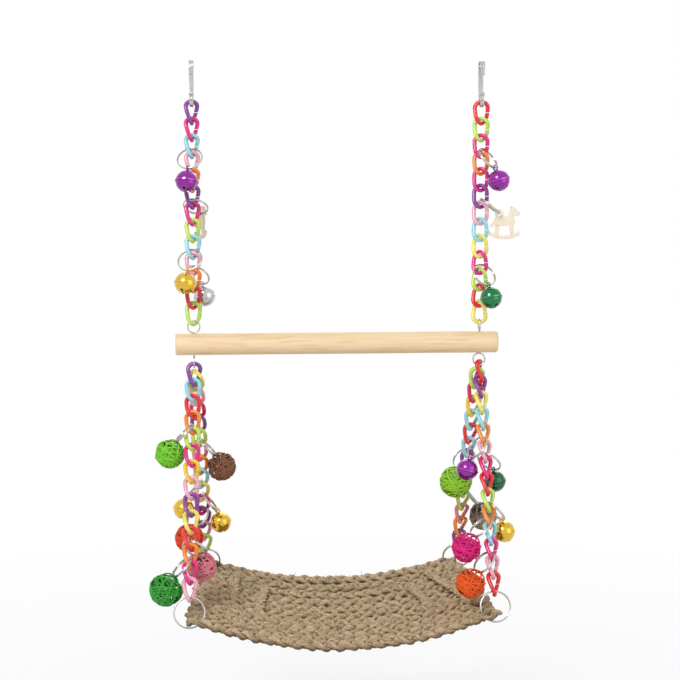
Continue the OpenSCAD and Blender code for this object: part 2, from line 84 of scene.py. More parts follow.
class Dye(Enum):
    """Colours of the moulded links and of the dyed vine, as they look in daylight."""

    PURPLE = "8A3C9C"
    HOT_PINK = "EA2088"
    MAGENTA = "E0248A"
    CRIMSON = "D81E5B"
    PALE_PINK = "F7B6C4"
    SALMON = "F08A98"
    LIGHT_BLUE = "9EDDEA"
    LIME = "C8E860"
    YELLOW = "F8EA70"
    GOLDEN = "F8D040"
    ORANGE = "F89028"
    RED = "E8242E"
    LEAF_GREEN = "7CD02C"
    GRASS_GREEN = "34A032"
    SPRING_GREEN = "9CD834"
    BROWN = "8A5A40"
    FLAME = "FA4C14"
    TAUPE = "A08C78"
    CERISE = "EC1480"
    TANGERINE = "FE5C10"


class Lacquer(Enum):
    """Colours of the bells' metallic finish."""

    VIOLET = "941A9E"
    GOLD = "E8BC34"
    SILVER = "C9CACE"
    BOTTLE = "0C7A46"
    DEEP_GREEN = "0A5A38"


def linear(code: str) -> tuple[float, float, float, float]:
    """Turns a colour code into the linear values that a shader takes.

    Args:
        code: Six hexadecimal digits, red first.

    Returns:
        Red, green, blue and an alpha of 1.
    """
    parts = [int(code[i : i + 2], 16) / 255 for i in (0, 2, 4)]
    red, green, blue = (p / 12.92 if p <= 0.04045 else ((p + 0.055) / 1.055) ** 2.4 for p in parts)
    return (red, green, blue, 1.0)


def toned(colour: Sequence[float], by: float) -> tuple[float, float, float, float]:
    """Makes a linear colour darker or lighter.

    Args:
        colour: Linear red, green, blue and alpha.
        by: What each of the three is multiplied by.

    Returns:
        The toned colour, with an alpha of 1.
    """
    red, green, blue = (min(1.0, c * by) for c in colour[:3])
    return (red, green, blue, 1.0)


class Nodes:
    """A node tree that is filled in line by line."""

    def __init__(self, tree: bpy.types.NodeTree) -> None:
        """Keeps the tree that the nodes go into."""
        self.tree = tree

    def feed(self, node: bpy.types.Node, inputs: dict) -> None:
        """Sets a node's inputs.

        Args:
            node: The node.
            inputs: Input name or number to a value, or to the socket that feeds it.
        """
        for key, value in inputs.items():
            if isinstance(value, Socket):
                self.tree.links.new(value, node.inputs[key])
            else:
                node.inputs[key].default_value = value

    def add(self, kind: str, inputs: dict | None = None, **settings: object) -> bpy.types.Node:
        """Adds a node and sets it up.

        Args:
            kind: The node's type name.
            inputs: Input name or number to a value, or to the socket that feeds it.
            settings: Attributes of the node itself.

        Returns:
            The new node.
        """
        node = self.tree.nodes.new(kind)
        for name, value in settings.items():
            setattr(node, name, value)
        self.feed(node, inputs or {})
        return node

    def group(self, tree: bpy.types.NodeTree, **inputs: object) -> Mapping:
        """Places one of the shared groups and returns its outputs by name."""
        return self.add("ShaderNodeGroup", inputs, node_tree=tree).outputs

    def spot(self) -> Socket:
        """Returns the socket of the Object coordinates."""
        return self.add("ShaderNodeTexCoord").outputs["Object"]

    def outer(self) -> Socket:
        """Returns the socket of the painted light stored on a strand: lower where it lies deeper, so that it
        is painted in shade.
        """
        return self.add("ShaderNodeAttribute", attribute_name="lie").outputs["Fac"]

    def math(self, operation: str, *values: object) -> Socket:
        """Works out a sum, product or such and returns the socket of the result."""
        return self.add("ShaderNodeMath", dict(enumerate(values)), operation=operation).outputs[0]

    def noise(
        self, vector: Socket, scale: object, detail: float, distortion: float = 0.0
    ) -> Socket:
        """Returns the socket of a noise."""
        inputs = {"Vector": vector, "Scale": scale, "Detail": detail, "Distortion": distortion}
        return self.add("ShaderNodeTexNoise", inputs).outputs[0]

    def mix(self, mask: object, low: object, high: object) -> Socket:
        """Mixes two colours by a mask and returns the socket of the result."""
        return self.add("ShaderNodeMix", {0: mask, 6: low, 7: high}, data_type="RGBA").outputs[2]

    def spread(
        self, value: object, low: float, high: float, start: float = 0.0, end: object = 1.0
    ) -> Socket:
        """Maps a stretch of a value to a range and returns the socket of the result."""
        inputs = {0: value, 1: start, 2: end, 3: low, 4: high}
        return self.add("ShaderNodeMapRange", inputs).outputs[0]

    def painted_shade_in_hollows(self, softness: float, share: float, tone: object, dark: object) -> Socket:
        """Paints shade into the surface's hollows by darkening a tone there, and returns the socket of the
        result.
        """
        hollows = self.group(WEAR_AND_SHADE, Softness=softness)["Hollows"]
        return self.mix(self.spread(hollows, 0.0, share), tone, dark)

    def relief(self, height: object, depth: float, strength: float) -> Socket:
        """Makes a normal from a height, with its depth in metres, and returns its socket."""
        inputs = {"Height": height, "Distance": depth, "Strength": strength}
        return self.add("ShaderNodeBump", inputs).outputs[0]


def emptied(owner: bpy.types.Material | bpy.types.World) -> Nodes:
    """Clears a material's or a world's nodes and returns the empty tree.

    Args:
        owner: The material or world.

    Returns:
        Its empty node tree.
    """
    owner.use_nodes = True
    owner.node_tree.nodes.clear()
    return Nodes(owner.node_tree)


def new_group(
    name: str, takes: dict[str, object], gives: Sequence[str]
) -> tuple[Nodes, Mapping, bpy.types.Node]:
    """Starts a shader node group with named inputs and outputs.

    Args:
        name: The group's name.
        takes: Input name to its default: a number, three numbers, or None for coordinates.
        gives: Names of the outputs, which are all single values.

    Returns:
        The group's nodes, its inputs and the node that takes its outputs.
    """
    tree = bpy.data.node_groups.new(name, "ShaderNodeTree")
    for key, default in takes.items():
        kind = "NodeSocketFloat" if isinstance(default, float) else "NodeSocketVector"
        socket = tree.interface.new_socket(key, in_out="INPUT", socket_type=kind)
        if default is not None:
            socket.default_value = default
    for key in gives:
        tree.interface.new_socket(key, in_out="OUTPUT", socket_type="NodeSocketFloat")
    nodes = Nodes(tree)
    return nodes, nodes.add("NodeGroupInput").outputs, nodes.add("NodeGroupOutput")


def handling_group() -> bpy.types.NodeTree:
    """Builds the group of soft mottling and fine scratches that a handled surface has.

    Returns:
        The group, with a soft mask, a fine mask and a height.
    """
    takes = {"Vector": None, "Patches": 60.0, "Specks": 900.0}
    nodes, given, end = new_group("handling", takes, ("Soft", "Fine", "Height"))
    soft = nodes.noise(given["Vector"], given["Patches"], 3.0)
    fine = nodes.noise(given["Vector"], given["Specks"], 2.0)
    height = nodes.math("MULTIPLY_ADD", fine, 0.2, soft)
    nodes.feed(end, {"Soft": soft, "Fine": fine, "Height": height})
    return nodes.tree


def streak_group() -> bpy.types.NodeTree:
    """Builds the group of long fibres that wood, vine and grass share.

    Returns:
        The group, with a broad mask, a thin mask and a height.
    """
    takes = {"Vector": None, "Stretch": (1.0, 12.0, 12.0), "Size": 20.0}
    nodes, given, end = new_group("streaks", takes, ("Broad", "Thin", "Height"))
    stretched = {0: given["Vector"], 1: given["Stretch"]}
    along = nodes.add("ShaderNodeVectorMath", stretched, operation="MULTIPLY").outputs[0]
    broad = nodes.noise(along, given["Size"], 4.0, 0.3)
    thin = nodes.noise(along, nodes.math("MULTIPLY", given["Size"], 4.0), 3.0)
    crisp = nodes.spread(broad, 0.0, 1.0, 0.32, 0.68)
    crisp_thin = nodes.spread(thin, 0.0, 1.0, 0.35, 0.65)
    height = nodes.math("ADD", crisp_thin, crisp)
    nodes.feed(end, {"Broad": crisp, "Thin": crisp_thin, "Height": height})
    return nodes.tree


def wear_and_shade_group() -> bpy.types.NodeTree:
    """Builds the group that finds worn edges, and the hollows where shade is painted, from the surface's own
    bends.

    Returns:
        The group, with a mask of edges and a mask of hollows.
    """
    flat = 0.5
    nodes, given, end = new_group("wear_and_shade", {"Softness": 0.06}, ("Edges", "Hollows"))
    bend = nodes.add("ShaderNodeNewGeometry").outputs["Pointiness"]
    over = nodes.math("ADD", flat, given["Softness"])
    under = nodes.math("SUBTRACT", flat, given["Softness"])
    edges = nodes.spread(bend, 0.0, 1.0, flat, over)
    hollows = nodes.spread(bend, 0.0, 1.0, flat, under)
    nodes.feed(end, {"Edges": edges, "Hollows": hollows})
    return nodes.tree


HANDLING = handling_group()
STREAKS = streak_group()
WEAR_AND_SHADE = wear_and_shade_group()


@dataclass(frozen=True)
class Finish:
    """What every finish has: a name, and a material that is made once and shared."""

    name: str

    def material(self) -> bpy.types.Material:
        """Returns the finish's material, made on first use.

        Returns:
            The material.
        """
        title = f"finish_{self.name}"
        known = bpy.data.materials.get(title)
        if known:
            return known
        made = bpy.data.materials.new(title)
        nodes = emptied(made)
        shader = nodes.add("ShaderNodeBsdfPrincipled")
        nodes.add("ShaderNodeOutputMaterial", {"Surface": shader.outputs[0]})
        nodes.feed(shader, self.look(nodes))
        return made

    def look(self, nodes: Nodes) -> dict[str, object]:
        """Returns what goes into the shader's inputs; each finish has its own."""
        raise NotImplementedError


@dataclass(frozen=True)
class MouldedPlastic(Finish):
    """Glossy coloured plastic with faint flow marks."""

    dye: Dye = Dye.RED

    def look(self, nodes: Nodes) -> dict[str, object]:
        """Makes a slightly uneven colour under a clear gloss, with painted shade in its hollows.

        Args:
            nodes: The material's nodes.

        Returns:
            What goes into the shader's inputs.
        """
        body = linear(self.dye.value)
        marks = nodes.group(HANDLING, Vector=nodes.spot(), Patches=70.0, Specks=500.0)
        tone = nodes.mix(marks["Soft"], toned(body, 0.84), toned(body, 1.1))
        return {
            # Painted shade in the hollows.
            "Base Color": nodes.painted_shade_in_hollows(0.08, 0.35, tone, toned(body, 0.55)),
            "Roughness": nodes.spread(marks["Soft"], 0.18, 0.36),
            "Coat Weight": 0.35,
            "Coat Roughness": 0.12,
            "Subsurface Weight": 0.12,
            "Subsurface Radius": (0.002, 0.0015, 0.001),
            "Normal": nodes.relief(marks["Height"], 0.3 * MM, 0.2),
        }


@dataclass(frozen=True)
class NickelPlate(Finish):
    """Bright nickel on steel, dulled by handling."""

    tone: str = "C8C6C2"
    dull: float = 0.34

    def look(self, nodes: Nodes) -> dict[str, object]:
        """Makes a metal with cloudy patches, fine scratches and painted shade in its hollows.

        Args:
            nodes: The material's nodes.

        Returns:
            What goes into the shader's inputs.
        """
        body = linear(self.tone)
        marks = nodes.group(HANDLING, Vector=nodes.spot(), Patches=110.0, Specks=600.0)
        tone = nodes.mix(marks["Soft"], toned(body, 0.72), toned(body, 1.12))
        return {
            # Painted shade in the hollows.
            "Base Color": nodes.painted_shade_in_hollows(0.07, 0.6, tone, toned(body, 0.3)),
            "Roughness": nodes.spread(marks["Soft"], 0.12, self.dull),
            "Metallic": 1.0,
            "Normal": nodes.relief(marks["Height"], 0.1 * MM, 0.15),
        }


@dataclass(frozen=True)
class BellLacquer(Finish):
    """Thin coloured lacquer over pressed steel."""

    lacquer: Lacquer = Lacquer.GOLD
    steel: str = "D8D4CC"

    def look(self, nodes: Nodes) -> dict[str, object]:
        """Makes a coloured metal that is worn towards bare steel on its edges, with painted shade in its
        hollows.

        Args:
            nodes: The material's nodes.

        Returns:
            What goes into the shader's inputs.
        """
        body = linear(self.lacquer.value)
        marks = nodes.group(HANDLING, Vector=nodes.spot(), Patches=80.0, Specks=450.0)
        wear_and_shade = nodes.group(WEAR_AND_SHADE, Softness=0.1)
        tone = nodes.mix(marks["Soft"], toned(body, 0.7), toned(body, 1.15))
        rubbed = nodes.math("MULTIPLY", wear_and_shade["Edges"], marks["Fine"])
        tone = nodes.mix(nodes.spread(rubbed, 0.0, 0.45), tone, linear(self.steel))
        return {
            # Painted shade in the hollows.
            "Base Color": nodes.mix(nodes.spread(wear_and_shade["Hollows"], 0.0, 0.7), tone, toned(body, 0.2)),
            "Roughness": nodes.spread(marks["Soft"], 0.08, 0.24),
            "Metallic": 1.0,
            "Coat Weight": 0.5,
            "Coat Roughness": 0.06,
            "Normal": nodes.relief(marks["Height"], 0.15 * MM, 0.12),
        }


@dataclass(frozen=True)
class SandedWood(Finish):
    """Bare sanded softwood, with its grain along X."""

    pale: str = "F7DFBA"
    warm: str = "F0D0A2"
    line: str = "D6A672"
    stretch: tuple[float, float, float] = (1.0, 16.0, 16.0)
    size: float = 7.0
    lines: float = 0.4

    def look(self, nodes: Nodes) -> dict[str, object]:
        """Makes early and late wood, thin dark lines and pores.

        Args:
            nodes: The material's nodes.

        Returns:
            What goes into the shader's inputs.
        """
        spot = nodes.spot()
        grain = nodes.group(STREAKS, Vector=spot, Stretch=self.stretch, Size=self.size)
        marks = nodes.group(HANDLING, Vector=spot, Patches=26.0, Specks=1500.0)
        tone = nodes.mix(grain["Broad"], linear(self.warm), linear(self.pale))
        tone = nodes.mix(nodes.spread(grain["Thin"], 0.0, self.lines, 0.55), tone, linear(self.line))
        return {
            "Base Color": nodes.mix(nodes.spread(marks["Soft"], 0.0, 0.3), tone, linear(self.warm)),
            "Roughness": nodes.spread(grain["Thin"], 0.5, 0.7),
            "Normal": nodes.relief(grain["Height"], 0.15 * MM, 0.35),
        }


@dataclass(frozen=True)
class DyedVine(Finish):
    """Split vine dyed through, with paler fibres where the dye took less."""

    dye: Dye = Dye.LEAF_GREEN

    def look(self, nodes: Nodes) -> dict[str, object]:
        """Makes fibres of three tones, with painted shade on the inner strands and in the gaps between them.

        Args:
            nodes: The material's nodes.

        Returns:
            What goes into the shader's inputs.
        """
        body = linear(self.dye.value)
        spot = nodes.spot()
        fibre = nodes.group(STREAKS, Vector=spot, Stretch=(3.0, 3.0, 9.0), Size=90.0)
        marks = nodes.group(HANDLING, Vector=spot, Patches=170.0, Specks=1900.0)
        tone = nodes.mix(fibre["Broad"], toned(body, 0.82), toned(body, 1.18))
        tone = nodes.mix(nodes.spread(marks["Soft"], 0.0, 0.5), tone, toned(body, 1.3))
        # Painted shade: the ball's inner strands are darkened by their painted light.
        tone = nodes.mix(nodes.outer(), toned(body, 0.5), tone)
        return {
            # Painted shade in the gaps between the strands.
            "Base Color": nodes.painted_shade_in_hollows(0.12, 0.6, tone, toned(body, 0.36)),
            "Roughness": nodes.spread(fibre["Thin"], 0.5, 0.78),
            "Normal": nodes.relief(fibre["Height"], 0.25 * MM, 0.5),
        }


@dataclass(frozen=True)
class DrySeagrass(Finish):
    """Dry twisted grass. Its fibres follow the strand by the piece's own UV map."""

    straw: str = "FFD8A2"
    earth: str = "7A542E"
    painted_highlight: str = "FFF2D2"
    olive: str = "BCA672"

    def look(self, nodes: Nodes) -> dict[str, object]:
        """Makes straw and earth fibres with olive stretches, painted highlights on the raised fibres, and
        painted shade in the gaps and on the lower strands.

        Args:
            nodes: The material's nodes.

        Returns:
            What goes into the shader's inputs.
        """
        earth = linear(self.earth)
        along = nodes.add("ShaderNodeUVMap", uv_map="strand").outputs[0]
        fibre = nodes.group(STREAKS, Vector=along, Stretch=(1.0, 5.0, 1.0), Size=1.2)
        marks = nodes.group(HANDLING, Vector=nodes.spot(), Patches=38.0, Specks=700.0)
        tone = nodes.mix(fibre["Broad"], earth, linear(self.straw))
        tone = nodes.mix(nodes.spread(marks["Soft"], 0.0, 0.55, 0.55, 0.7), tone, linear(self.olive))
        # Painted highlight: the raised fibres are lightened.
        tone = nodes.mix(nodes.spread(fibre["Thin"], 0.0, 0.8, 0.4, 0.8), tone, linear(self.painted_highlight))
        # Painted shade in the gaps between strands.
        tone = nodes.painted_shade_in_hollows(0.1, 0.6, tone, toned(earth, 0.35))
        return {
            # Painted shade: strands and sides with less painted light are darkened towards a dark earth.
            "Base Color": nodes.mix(nodes.outer(), toned(earth, 0.42), tone),
            "Roughness": nodes.spread(fibre["Thin"], 0.55, 0.85),
            "Normal": nodes.relief(fibre["Height"], 0.5 * MM, 0.7),
        }


NICKEL = NickelPlate("nickel_plate")
PINE = SandedWood("pine_dowel")
BOARD = SandedWood(
    "pale_board", "FBF1DF", "F2E2C6", "DCC29A", stretch=(6.0, 6.0, 1.0), size=14.0, lines=0.3
)
SEAGRASS = DrySeagrass("seagrass")
GROUND = DrySeagrass("seagrass_ground", "8A7048", "5A442A", "A88E64", "6A6240")


def deselect() -> None:
    """Leaves edit mode and deselects everything."""
    if bpy.context.object and bpy.context.object.mode != "OBJECT":
        bpy.ops.object.mode_set(mode="OBJECT")
    bpy.ops.object.select_all(action="DESELECT")


def only(piece: Piece) -> None:
    """Makes a piece the only one that is selected and active."""
    deselect()
    piece.select_set(True)
    bpy.context.view_layer.objects.active = piece


@contextmanager
def editing(piece: Piece) -> Iterator[None]:
    """Works on a piece in edit mode, with all of it selected at the start."""
    only(piece)
    bpy.ops.object.mode_set(mode="EDIT")
    bpy.ops.mesh.select_all(action="SELECT")
    yield
    bpy.ops.object.mode_set(mode="OBJECT")


def pick(piece: Piece, test: Callable[[Vector], bool], faces: bool = False) -> None:
    """Selects, in edit mode, only the points or faces whose place passes a test.

    Args:
        piece: The piece that is being edited.
        test: Takes a point, or a face's middle, and says whether it is wanted.
        faces: True to select faces instead of points.
    """
    mesh = bmesh.from_edit_mesh(piece.data)
    for part in (*mesh.verts, *mesh.edges, *mesh.faces):
        part.select_set(False)
    if faces:
        wanted = [face for face in mesh.faces if test(face.calc_center_median())]
    else:
        wanted = [point for point in mesh.verts if test(point.co)]
    for part in wanted:
        part.select_set(True)
    mesh.select_flush_mode()
    bmesh.update_edit_mesh(piece.data)


def apply_all(piece: Piece) -> Piece:
    """Applies every modifier on a piece, and its place, turn and scale to its mesh.

    Args:
        piece: The piece.

    Returns:
        The same piece.
    """
    only(piece)
    for modifier in list(piece.modifiers):
        bpy.ops.object.modifier_apply(modifier=modifier.name)
    bpy.ops.object.transform_apply(location=True, rotation=True, scale=True)
    return piece


def modify(piece: Piece, kind: str, **settings: object) -> None:
    """Gives a piece a modifier with these settings.

    Args:
        piece: The piece.
        kind: The modifier's type name.
        settings: Attributes of the modifier.
    """
    modifier = piece.modifiers.new(kind.lower(), kind)
    for name, value in settings.items():
        setattr(modifier, name, value)


def turned(degrees: float, axis: str) -> Matrix:
    """Returns the turn by an angle about an axis."""
    return Matrix.Rotation(math.radians(degrees), 4, axis)


def copy_of(pattern: Piece, name: str, place: Matrix) -> Piece:
    """Copies a pattern, with its own mesh, to a place.

    Args:
        pattern: The piece to copy.
        name: The copy's name.
        place: Where the copy's mesh goes.

    Returns:
        The copy, whose object stays at the origin.
    """
    made = bpy.data.objects.new(name, pattern.data.copy())
    made.data.transform(place)
    if place.determinant() < 0:
        made.data.flip_normals()
    bpy.context.scene.collection.objects.link(made)
    return made


def store_painted_light(piece: Piece, values: Sequence[float]) -> None:
    """Stores the painted light on each point of a piece: from 0, painted in full shade where it lies deepest,
    to 1 at the outside.

    Args:
        piece: The piece.
        values: One value for each point, or one for all.
    """
    count = len(piece.data.vertices)
    # The attribute lie holds painted light: lower values are painted in shade.
    held = piece.data.attributes.new("lie", "FLOAT", "POINT")
    held.data.foreach_set("value", list(values) if len(values) == count else list(values) * count)


def joined(parts: Sequence[Piece], name: str) -> Piece:
    """Joins pieces into one and names it.

    Args:
        parts: The pieces, of which the first takes the others in.
        name: The whole's name.

    Returns:
        The whole.
    """
    deselect()
    for part in parts:
        part.select_set(True)
    bpy.context.view_layer.objects.active = parts[0]
    if len(parts) > 1:
        bpy.ops.object.join()
    whole = bpy.context.view_layer.objects.active
    whole.name = whole.data.name = name
    return whole


def smooth(piece: Piece, angle: float) -> None:
    """Shades a piece smoothly, with edges sharper than an angle kept."""
    only(piece)
    bpy.ops.object.shade_smooth_by_angle(angle=math.radians(angle))


def dress(piece: Piece, finish: Finish) -> None:
    """Gives a piece one finish all over.

    Args:
        piece: The piece.
        finish: What it is dressed in.
    """
    piece.data.materials.clear()
    piece.data.materials.append(finish.material())
    for polygon in piece.data.polygons:
        polygon.material_index = 0


def settle(piece: Piece, body: str, slot: str, *nodes: str) -> None:
    """Lets a piece ride on its body and stand for CAD nodes, and reports it.

    Args:
        piece: The finished piece.
        body: The body it rides on.
        slot: The record's material slot; not used.
        nodes: The CAD nodes that it stands for.
    """
    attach(piece, body)
    if nodes:
        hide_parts(*nodes)
    log.info("%s: %d faces on %s", piece.name, len(piece.data.polygons), body)


# Turns that a strand makes round itself in a metre, and how far its map runs in a metre.
WINDING = 31.0
MAP_SCALE = 100
# The size of a strand's ends, and how its swelling waves along it.
END_SIZE = 0.55
SWELL_WAVES = 190
SWELL_SHIFT = 40
# How far a strand's bundles stand out, and its painted light: the plain level, how much
# lighter its top and darker its underside and sides are painted, the height round it that
# this is reckoned from, and how much darker the grooves between its bundles are painted.
LOBE_RISE = 0.13
PLAIN_PAINTED_LIGHT = 0.8
PAINTED_SHADE_BY_SIDE = 0.4
PAINTED_SHADE_SIDE_LEVEL = 0.6
PAINTED_SHADE_BY_LOBE = 0.22

Tube = tuple[list[Vector], list[tuple[int, ...]], list[tuple[float, float]], list[float]]


def tube(
    points: Sequence[Vector],
    ups: Sequence[Vector],
    half_width: float,
    half_depth: float,
    sides: int,
    start: float = 0.0,
    swell: float = 0.0,
    lie: Sequence[float] = (),
    lobes: int = 0,
) -> Tube:
    """Works out an oval tube along a line, with a map that runs along it.

    Args:
        points: The line.
        ups: The direction of the oval's short axis at each point.
        half_width: Half of the oval's long axis.
        half_depth: Half of its short axis.
        sides: Points round the oval.
        start: Where along the map the tube begins, so that no two look alike.
        swell: How much the tube's size rises and falls along its length, as a share.
        lie: The painted light along the line at each point, from 0 to 1; lower is painted darker.
        lobes: Number of bundles that the tube is twisted from, or 0 for a plain one.

    Returns:
        The points, the faces, the map's corner values in the order of the faces, and the
        painted light on each point.
    """
    verts, faces, corners, painted_light_values, run = [], [], [], [], [start]
    last = len(points) - 1
    for i, point in enumerate(points):
        ahead = (points[min(i + 1, last)] - points[max(i - 1, 0)]).normalized()
        side = ahead.cross(ups[i]).normalized()
        over = side.cross(ahead)
        if i:
            run.append(run[-1] + (point - points[i - 1]).length)
        swollen = 1.0 + swell * math.sin(SWELL_WAVES * run[-1] + SWELL_SHIFT * start)
        taper = END_SIZE if i in (0, last) else swollen
        level = lie[i] if lie else PLAIN_PAINTED_LIGHT
        for k in range(sides):
            a = math.tau * k / sides
            ridge = math.cos(lobes * (a + math.tau * WINDING * run[-1])) if lobes else 0.0
            size = taper * (1.0 + LOBE_RISE * ridge)
            wide, deep = half_width * size * math.cos(a), half_depth * size * math.sin(a)
            verts.append(point + side * wide + over * deep)
            # Painted shade: the top of the oval is painted lighter, its underside and sides darker, and the
            # grooves between the bundles darker than their crests.
            depth = level + PAINTED_SHADE_BY_SIDE * (math.sin(a) - PAINTED_SHADE_SIDE_LEVEL) + PAINTED_SHADE_BY_LOBE * ridge
            painted_light_values.append(min(1.0, max(0.0, depth)))
    for i in range(last):
        for k in range(sides):
            n = (k + 1) % sides
            faces.append((i * sides + k, i * sides + n, (i + 1) * sides + n, (i + 1) * sides + k))
            for row, turn in ((i, k), (i, k + 1), (i + 1, k + 1), (i + 1, k)):
                corners.append((run[row] * MAP_SCALE, turn / sides + WINDING * run[row]))
    cap = last * sides
    faces += [tuple(range(sides - 1, -1, -1)), tuple(range(cap, cap + sides))]
    corners += [(run[end] * MAP_SCALE, k / sides) for end in (0, -1) for k in range(sides)]
    return verts, faces, corners, painted_light_values


def tubes_piece(name: str, tubes: Iterable[Tube]) -> Piece:
    """Makes one piece of many tubes, with the map named strand.

    Args:
        name: The piece's name.
        tubes: The tubes.

    Returns:
        The piece, with the painted light on its points.
    """
    verts, faces, corners, painted_light_values = [], [], [], []
    for points, quads, uv, lies in tubes:
        base = len(verts)
        verts += points
        painted_light_values += lies
        corners += uv
        faces += [tuple(base + i for i in quad) for quad in quads]
    mesh = bpy.data.meshes.new(name)
    mesh.from_pydata(verts, [], faces)
    layer = mesh.uv_layers.new(name="strand")
    layer.data.foreach_set("uv", [c for pair in corners for c in pair])
    mesh.update()
    piece = bpy.data.objects.new(name, mesh)
    bpy.context.scene.collection.objects.link(piece)
    store_painted_light(piece, painted_light_values)
    return piece


def joint(name: str) -> dict:
    """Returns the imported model's joint of that name."""
    return next(j for j in frame["joints"] if j["name"] == name)


def pivot(name: str) -> Vector:
    """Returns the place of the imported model's joint of that name."""
    return Vector(joint(name)["pos_m"])


@dataclass
class LinkPattern:
    """One twisted link, hung from the middle of its head's stock."""

    length: float = 24.1 * MM
    width: float = 16 * MM
    stock: float = 4 * MM
    opening: float = 0.5 * MM
    twist: float = 75.0
    play: float = 0.75 * MM
    ease: float = 0.35 * MM
    segments: int = 32
    sides: int = 14
    cuts: int = 5

    @property
    def drop(self) -> float:
        """Height from the link's middle to the middle of its head's stock."""
        return (self.length - self.stock) / 2

    @property
    def pitch(self) -> float:
        """Height from one link of a chain to the next."""
        return 2 * self.drop - self.stock - self.play

    def model(self) -> Piece:
        """Models the link from a ring: stretched, cut open on one side, capped and twisted.

        Returns:
            The pattern, centred at the origin with its head up.
        """
        bend = (self.width - self.stock) / 2
        straight = self.drop - bend
        deselect()
        bpy.ops.mesh.primitive_torus_add(
            major_radius=bend,
            minor_radius=self.stock / 2,
            major_segments=self.segments,
            minor_segments=self.sides,
            rotation=(math.pi / 2, math.pi / self.segments, 0),
        )
        link = bpy.context.object
        link.name = "link_pattern"
        bpy.ops.object.transform_apply(rotation=True)
        hair = 0.001 * MM
        ways = (1, -1)
        heights = [way * straight * k / self.cuts for k in range(1, self.cuts) for way in ways]
        heights += [way * self.opening / 2 for way in ways]
        with editing(link):
            for way in ways:
                pick(link, lambda p, w=way: p.z * w > hair)
                bpy.ops.transform.translate(value=(0, 0, way * straight))
            for height in heights:
                bpy.ops.mesh.select_all(action="SELECT")
                bpy.ops.mesh.bisect(plane_co=(0, 0, height), plane_no=(0, 0, 1))
            pick(link, lambda p: abs(p.z) < self.opening / 2 and p.x > 0, faces=True)
            bpy.ops.mesh.delete(type="FACE")
            bpy.ops.mesh.select_all(action="SELECT")
            bpy.ops.mesh.fill_holes(sides=0)
            pick(link, lambda p: abs(p.z) < self.opening / 2 + hair and p.x > 0)
            bpy.ops.mesh.bevel(offset=self.ease, segments=2)
            bpy.ops.mesh.select_all(action="SELECT")
            bpy.ops.mesh.normals_make_consistent(inside=False)
        angle = -math.radians(self.twist) * self.length / (2 * self.drop)
        modify(link, "SIMPLE_DEFORM", deform_method="TWIST", deform_axis="Z", angle=angle)
        apply_all(link)
        link.data.transform(turned(self.twist / 2, "Z"))
        smooth(link, 50)
        return link


def dyes(names: str) -> list[Dye]:
    """Looks up the dyes that a text names."""
    return [Dye[name] for name in names.split()]


@dataclass
class Chain:
    """A run of links from a head's place, with leans and turns in degrees."""

    name: str
    body: str
    node: str
    head: Vector
    turn: float
    step: float
    dyes: Sequence[Dye]
    leans: tuple[float, float] = (0.0, 0.0)
    first: int = 0
    slot: str = "chain_plastic"

    def place(self, link: LinkPattern, index: int) -> Matrix:
        """Returns where a link of the chain goes.

        Args:
            link: The link's sizes.
            index: Which link, from 0 at the head.

        Returns:
            The place and turn of its middle.
        """
        lean = turned(self.leans[1], "Y") @ turned(self.leans[0], "X")
        down = Matrix.Translation((0, 0, -link.drop - index * link.pitch))
        return Matrix.Translation(self.head) @ lean @ down @ turned(self.turn + index * self.step, "Z")

    def build(self, link: LinkPattern, pattern: Piece) -> None:
        """Hangs the chain's links, each in its own plastic, and joins them.

        Args:
            link: The link's sizes.
            pattern: The link that is copied.
        """
        parts = []
        for i, dye in enumerate(self.dyes, self.first):
            part = copy_of(pattern, f"{self.name}_{i}", self.place(link, i))
            dress(part, MouldedPlastic(f"plastic_{dye.name.lower()}", dye))
            parts.append(part)
        settle(joined(parts, self.name), self.body, self.slot, self.node)


# The first turn and the turn from link to link of each upper chain, and its dyes.
UPPER = {
    "left": (12, -2.5, dyes(
        "PURPLE HOT_PINK LIGHT_BLUE PALE_PINK ORANGE PURPLE HOT_PINK LIME LIGHT_BLUE PALE_PINK "
        "ORANGE RED LIME"
    )),
    "right": (-25, -4, dyes(
        "RED LIME HOT_PINK ORANGE MAGENTA PURPLE PALE_PINK LIGHT_BLUE YELLOW HOT_PINK LIME RED YELLOW"
    )),
}
# The turn of each common link, and its dye.
COMMON = {"left": (0, Dye.PURPLE), "right": (50, Dye.RED)}
# By side, and True at the back: where each lower chain sits in the common link, as shares of the
# stock, its turns and its dyes.
LOWER = {
    ("left", False): ((-0.24, -0.13, -1.16), -22, 2, dyes(
        "LIGHT_BLUE RED ORANGE LIME HOT_PINK GOLDEN PALE_PINK PURPLE YELLOW RED ORANGE HOT_PINK "
        "PALE_PINK"
    )),
    ("left", True): ((0.32, 0.15, 0.63), -52, 3.5, dyes(
        "YELLOW PALE_PINK CRIMSON PURPLE LIME SALMON ORANGE LIGHT_BLUE YELLOW HOT_PINK PURPLE "
        "PALE_PINK LIME"
    )),
    ("right", False): ((0.23, -0.08, -1.1), 11, 0, dyes(
        "PURPLE YELLOW LIGHT_BLUE ORANGE PALE_PINK HOT_PINK RED LIME ORANGE LIGHT_BLUE HOT_PINK "
        "PALE_PINK RED"
    )),
    ("right", True): ((-0.27, 0.29, 0.72), -16, 1.5, dyes(
        "LIME CRIMSON GOLDEN LIGHT_BLUE RED LIGHT_BLUE PURPLE YELLOW PALE_PINK LIME SALMON ORANGE "
        "PURPLE"
    )),
}


